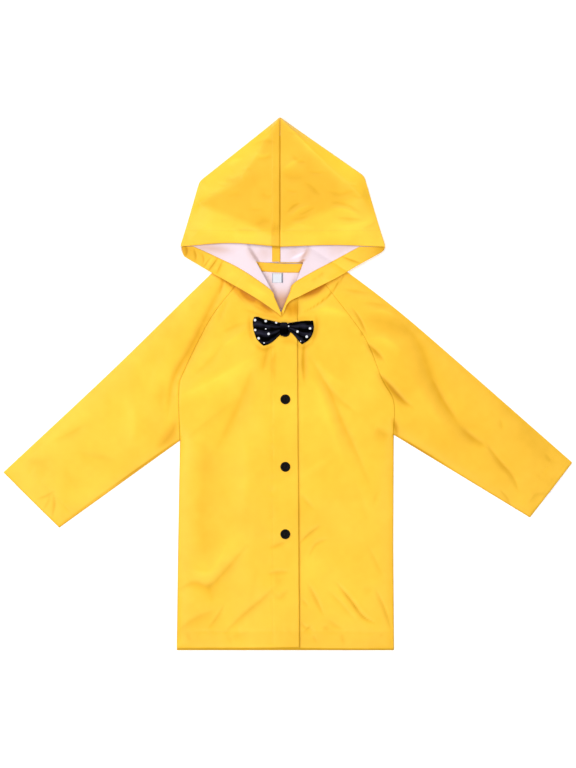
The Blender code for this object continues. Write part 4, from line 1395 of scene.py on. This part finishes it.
bowOutline = {  # each wing's edges from the end toward the knot, top and bottom, and its end edge
    "right": {"top": ((-50.8, 100.2), (-45.4, 100.8), (-37, 97.6), (-26, 95.3), (-18, 93.4), (-9, 91.5)),
              "end": ((-50.8, 100.2), (-52.8, 93), (-51.6, 81), (-47.6, 68.7), (-42.7, 62.4), (-36.8, 57.2)),
              "bottom": ((-36.8, 57.2), (-29, 59.6), (-21, 64.8), (-9, 76.5)),
              "dots": ((-49.4, 95.7, 1.9), (-33.4, 94.3, 1.9), (-17.6, 92.2, 1.8), (-49.2, 80.8, 1.8),
                       (-29, 75, 1.8), (-44, 68.4, 1.9), (-35.8, 61.5, 1.1), (-33.2, 82.4, 1.0))},
    "left": {"top": ((37.6, 94.9), (28, 94.9), (17, 94.0), (0, 91.5)),
             "end": ((37.6, 94.9), (38.8, 84), (36.0, 73), (29.8, 65), (20.8, 59.4)),
             "bottom": ((20.8, 59.4), (14.8, 65.6), (7.8, 74), (-1, 81.0)),
             "dots": ((33.0, 83.2, 1.8), (14.2, 78.4, 1.8), (28.0, 70.8, 1.9), (18.8, 64, 0.9),
                       (33.6, 95.6, 1.1), (16.2, 94.6, 0.9), (-0.2, 91.6, 0.9), (0.9, 86.4, 1.1))},
}


wingShape = {
    "columns": 60, "rows": 48, "pleats": 2.6, "streaks": 3.4, "lift": 0.35,
    "thick": 2.6, "middle": 2.2,  # at the creased edge, and how much more in the middle
    "dark": 0.70, "painted fold shade": (0.85, 0.5, 0.5),  # of the streaks, the crumples and the edge
}


# two layers of cloth, gathered into pleats at the knot and creased shut round the edge
def makeBowWing(which, name, node):
    edges = bowOutline[which]
    columns, rows = wingShape["columns"], wingShape["rows"]
    end, top, bottom = (curveThrough(edges[key]) for key in ("end", "top", "bottom"))
    knot = [edges["top"][-1], edges["bottom"][-1]]
    spots = fourSided(top, bottom, end, knot, columns, rows)
    u, v = np.meshgrid(np.linspace(0, 1, columns + 1), np.linspace(0, 1, rows + 1))
    edge = np.minimum(np.minimum(np.minimum(v, 1 - v) * 10, u * 14), 1)
    crease = np.sqrt(1 - (1 - edge) ** 2)
    pleat = np.cos(2 * math.pi * (v * wingShape["pleats"] + 0.18 * np.sin(4 * u)))
    thick = wingShape["thick"] + wingShape["middle"] * np.sin(math.pi * v) * (0.45 + 0.55 * u)
    thick = thick + pleat * (0.15 + 0.95 * u ** 1.6) + 0.35 * rumple(spots, 11, 111 + len(which))
    base = np.where(spots[..., 0] < 17, lapHeight(spots), plainHeight(spots))
    base = np.maximum(base, float(np.median(base)) - 0.5) + wingShape["lift"]
    upper = base + 0.5 + np.maximum(thick, 1.0) * crease
    lower = base + 0.35 - 0.3 * crease
    layers = [np.concatenate([spots, height[..., None]], -1) for height in (upper, lower)]
    ring = np.concatenate([layers[0], layers[1][::-1]], axis=0)
    index = np.arange(ring[..., 0].size).reshape(ring.shape[:2])
    around = np.vstack([index, index[:1]])
    faces = np.stack([around[:-1, :-1], around[:-1, 1:], around[1:, 1:], around[1:, :-1]], -1)
    faces = faces.reshape(-1, 4).tolist()
    for r in range(rows):  # the creased end and the gathered end
        near, far = index[r:r + 2], index[::-1][r:r + 2]
        faces.append((near[0, 0], near[1, 0], far[1, 0], far[0, 0]))
        faces.append((far[0, -1], far[1, -1], near[1, -1], near[0, -1]))
    # painted highlights and shade in streaks along the wing, painted shade at its creased edge, and random
    # crumples of tone
    streaks = np.cos(2 * math.pi * (v * wingShape["streaks"] + 0.22 * np.sin(4 * u + 3 * v))) ** 3
    ofStreaks, ofCrumples, ofEdge = wingShape["painted fold shade"]
    folds = wingShape["dark"] - ofStreaks * streaks + ofCrumples * rumple(spots, 6, 121)
    folds = folds + ofEdge * (1 - edge)
    piece = meshObject(name, ring, faces, [dottedNavy], uv=ring[..., :2],
                       tint=np.concatenate([folds, folds[::-1]], axis=0))
    addValues(piece, "to dot", np.min(
        [np.hypot(ring[..., 0] - x, ring[..., 1] - y) / radius for x, y, radius in edges["dots"]], axis=0))
    outwardFaces(piece)
    settle(piece, node)


knotShape = {
    "side insets": (-1.0, 3.0), "low": 71.5, "high": 92.4, "lift": 0.4,
    "around": 44, "along": 26, "half height": 3.4, "wraps": 3,
}


# the band wrapped round the middle of the bow
def makeBowKnot():
    low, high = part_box("bow_knot")
    x0, x1 = low[0] / mm + knotShape["side insets"][0], high[0] / mm - knotShape["side insets"][1]
    y0, y1 = knotShape["low"], knotShape["high"]
    centre = ((x0 + x1) / 2, (y0 + y1) / 2)
    around, along = knotShape["around"], knotShape["along"]
    foot = float(lapHeight(np.array([centre]))[0]) + knotShape["lift"]
    angles = np.linspace(0, 2 * math.pi, around, endpoint=False)[None]
    share = np.linspace(-1, 1, along + 1)[:, None]
    fat = (1 - np.abs(share) ** 5) ** 0.4 * 0.96 + 0.04
    x = centre[0] + share * (x1 - x0) / 2 + 0 * angles
    cosine, sine = np.cos(angles), np.sin(angles)
    folds = np.cos(angles * knotShape["wraps"] + 0.6)
    wrap = 0.35 * folds * (1 - share ** 2) + 0.3 * np.cos(9 * share + 1.0)
    y = centre[1] + (y1 - y0) / 2 * fat * np.sign(cosine) * np.abs(cosine) ** 0.7
    half = knotShape["half height"] * fat + 0.6 * wrap * (sine > 0)
    z = foot + 3.6 + half * np.sign(sine) * np.abs(sine) ** 0.8
    points = np.stack([x, y, z], -1)
    index = np.arange(x.size).reshape(x.shape)
    wrapped = np.hstack([index, index[:, :1]])
    faces = np.stack([wrapped[:-1, :-1], wrapped[:-1, 1:], wrapped[1:, 1:], wrapped[1:, :-1]], -1)
    faces = faces.reshape(-1, 4).tolist() + [index[0, ::-1].tolist(), index[-1].tolist()]
    cut = np.stack(np.broadcast_arrays(share * 6 + 3, angles * 8 + 2), -1)
    # painted shade in the folds of the wraps
    piece = meshObject("bowKnot", points, faces, [dottedNavy], uv=cut,
                       tint=0.75 + 0.5 * folds * np.ones_like(share))
    addValues(piece, "to dot", np.full(x.size, 9.0))  # far from any dot
    outwardFaces(piece)
    settle(piece, "bow_knot")


makeTapes()
makeStitches()
makeSnaps()
makeBowWing("right", "bowWingRight", "bow_wing_right")
makeBowWing("left", "bowWingLeft", "bow_wing_left")
makeBowKnot()
print("small pieces made")


# floor, light and camera

studio = {
    "floor glow": 0.14, "floor side": 14.0, "floor drop": 0.0006, "floor colour": (0.95, 0.95, 0.95, 1),
    "lamps": 8, "lamp side": 1.15, "lamp off axis": 31.0, "lamp distance": 2.5, "lamp power": 8.9,
    "brighter toward": 200.0, "lean": 0.3,  # the ring is brighter on one side
    "key turn": 150.0, "key side": 1.7, "key off axis": 60.0, "key distance": 2.8, "key power": 20.0,
    "sky": 0.22, "lens": 85.0, "sensor": 36.0, "view height": 1152.0,
}


def makeFloor():
    mesh = bpy.data.meshes.new("floor")
    half = studio["floor side"] / 2
    corners = [(x * half, y * half, -studio["floor drop"]) for x, y in ((-1, -1), (1, -1), (1, 1), (-1, 1))]
    mesh.from_pydata(corners, [], [(0, 1, 2, 3)])
    material, tree, shader = newMaterial("paleFloor")
    for label, value in (("Base Color", studio["floor colour"]), ("Roughness", 0.9),
                         ("Specular IOR Level", 0.1), ("Emission Color", (1, 1, 1, 1)),
                         ("Emission Strength", studio["floor glow"])):
        shader.inputs[label].default_value = value
    mesh.materials.append(material)
    newObject("floor", mesh)


def makeLight():
    world = bpy.data.worlds.new("studio")
    bpy.context.scene.world = world
    world.use_nodes = True
    world.node_tree.nodes["Background"].inputs["Color"].default_value = (1, 1, 1, 1)
    world.node_tree.nodes["Background"].inputs["Strength"].default_value = studio["sky"]
    toward = math.radians(studio["brighter toward"])
    for number in range(studio["lamps"]):
        turn = 2 * math.pi * (number + 0.5) / studio["lamps"]
        power = studio["lamp power"] * (1 + studio["lean"] * math.cos(turn - toward))
        addLamp(f"softbox{number}", turn, studio["lamp off axis"], studio["lamp distance"],
                studio["lamp side"], power)
    addLamp("keyLamp", math.radians(studio["key turn"]), studio["key off axis"], studio["key distance"],
            studio["key side"], studio["key power"])


# a square lamp round the middle of the coat, facing it
def addLamp(name, turn, offAxis, distance, side, power):
    lamp = bpy.data.lights.new(name, "AREA")
    lamp.shape, lamp.size, lamp.energy = "SQUARE", side, power
    holder = newObject(name, lamp)
    off = math.radians(offAxis)
    spot = mathutils.Vector((math.sin(off) * math.cos(turn), math.sin(off) * math.sin(turn), math.cos(off)))
    holder.location = spot * distance
    holder.rotation_euler = (-spot).to_track_quat("-Z", "Y").to_euler()


def makeCamera():
    camera = bpy.data.cameras.new("camera")
    camera.lens, camera.sensor_width = studio["lens"], studio["sensor"]
    holder = newObject("camera", camera)
    holder.location = (0, 0, studio["view height"] * mm * studio["lens"] / studio["sensor"] + 4 * mm)
    bpy.context.scene.camera = holder
    bpy.context.scene.view_settings.view_transform = "Standard"


makeFloor()
makeLight()
makeCamera()
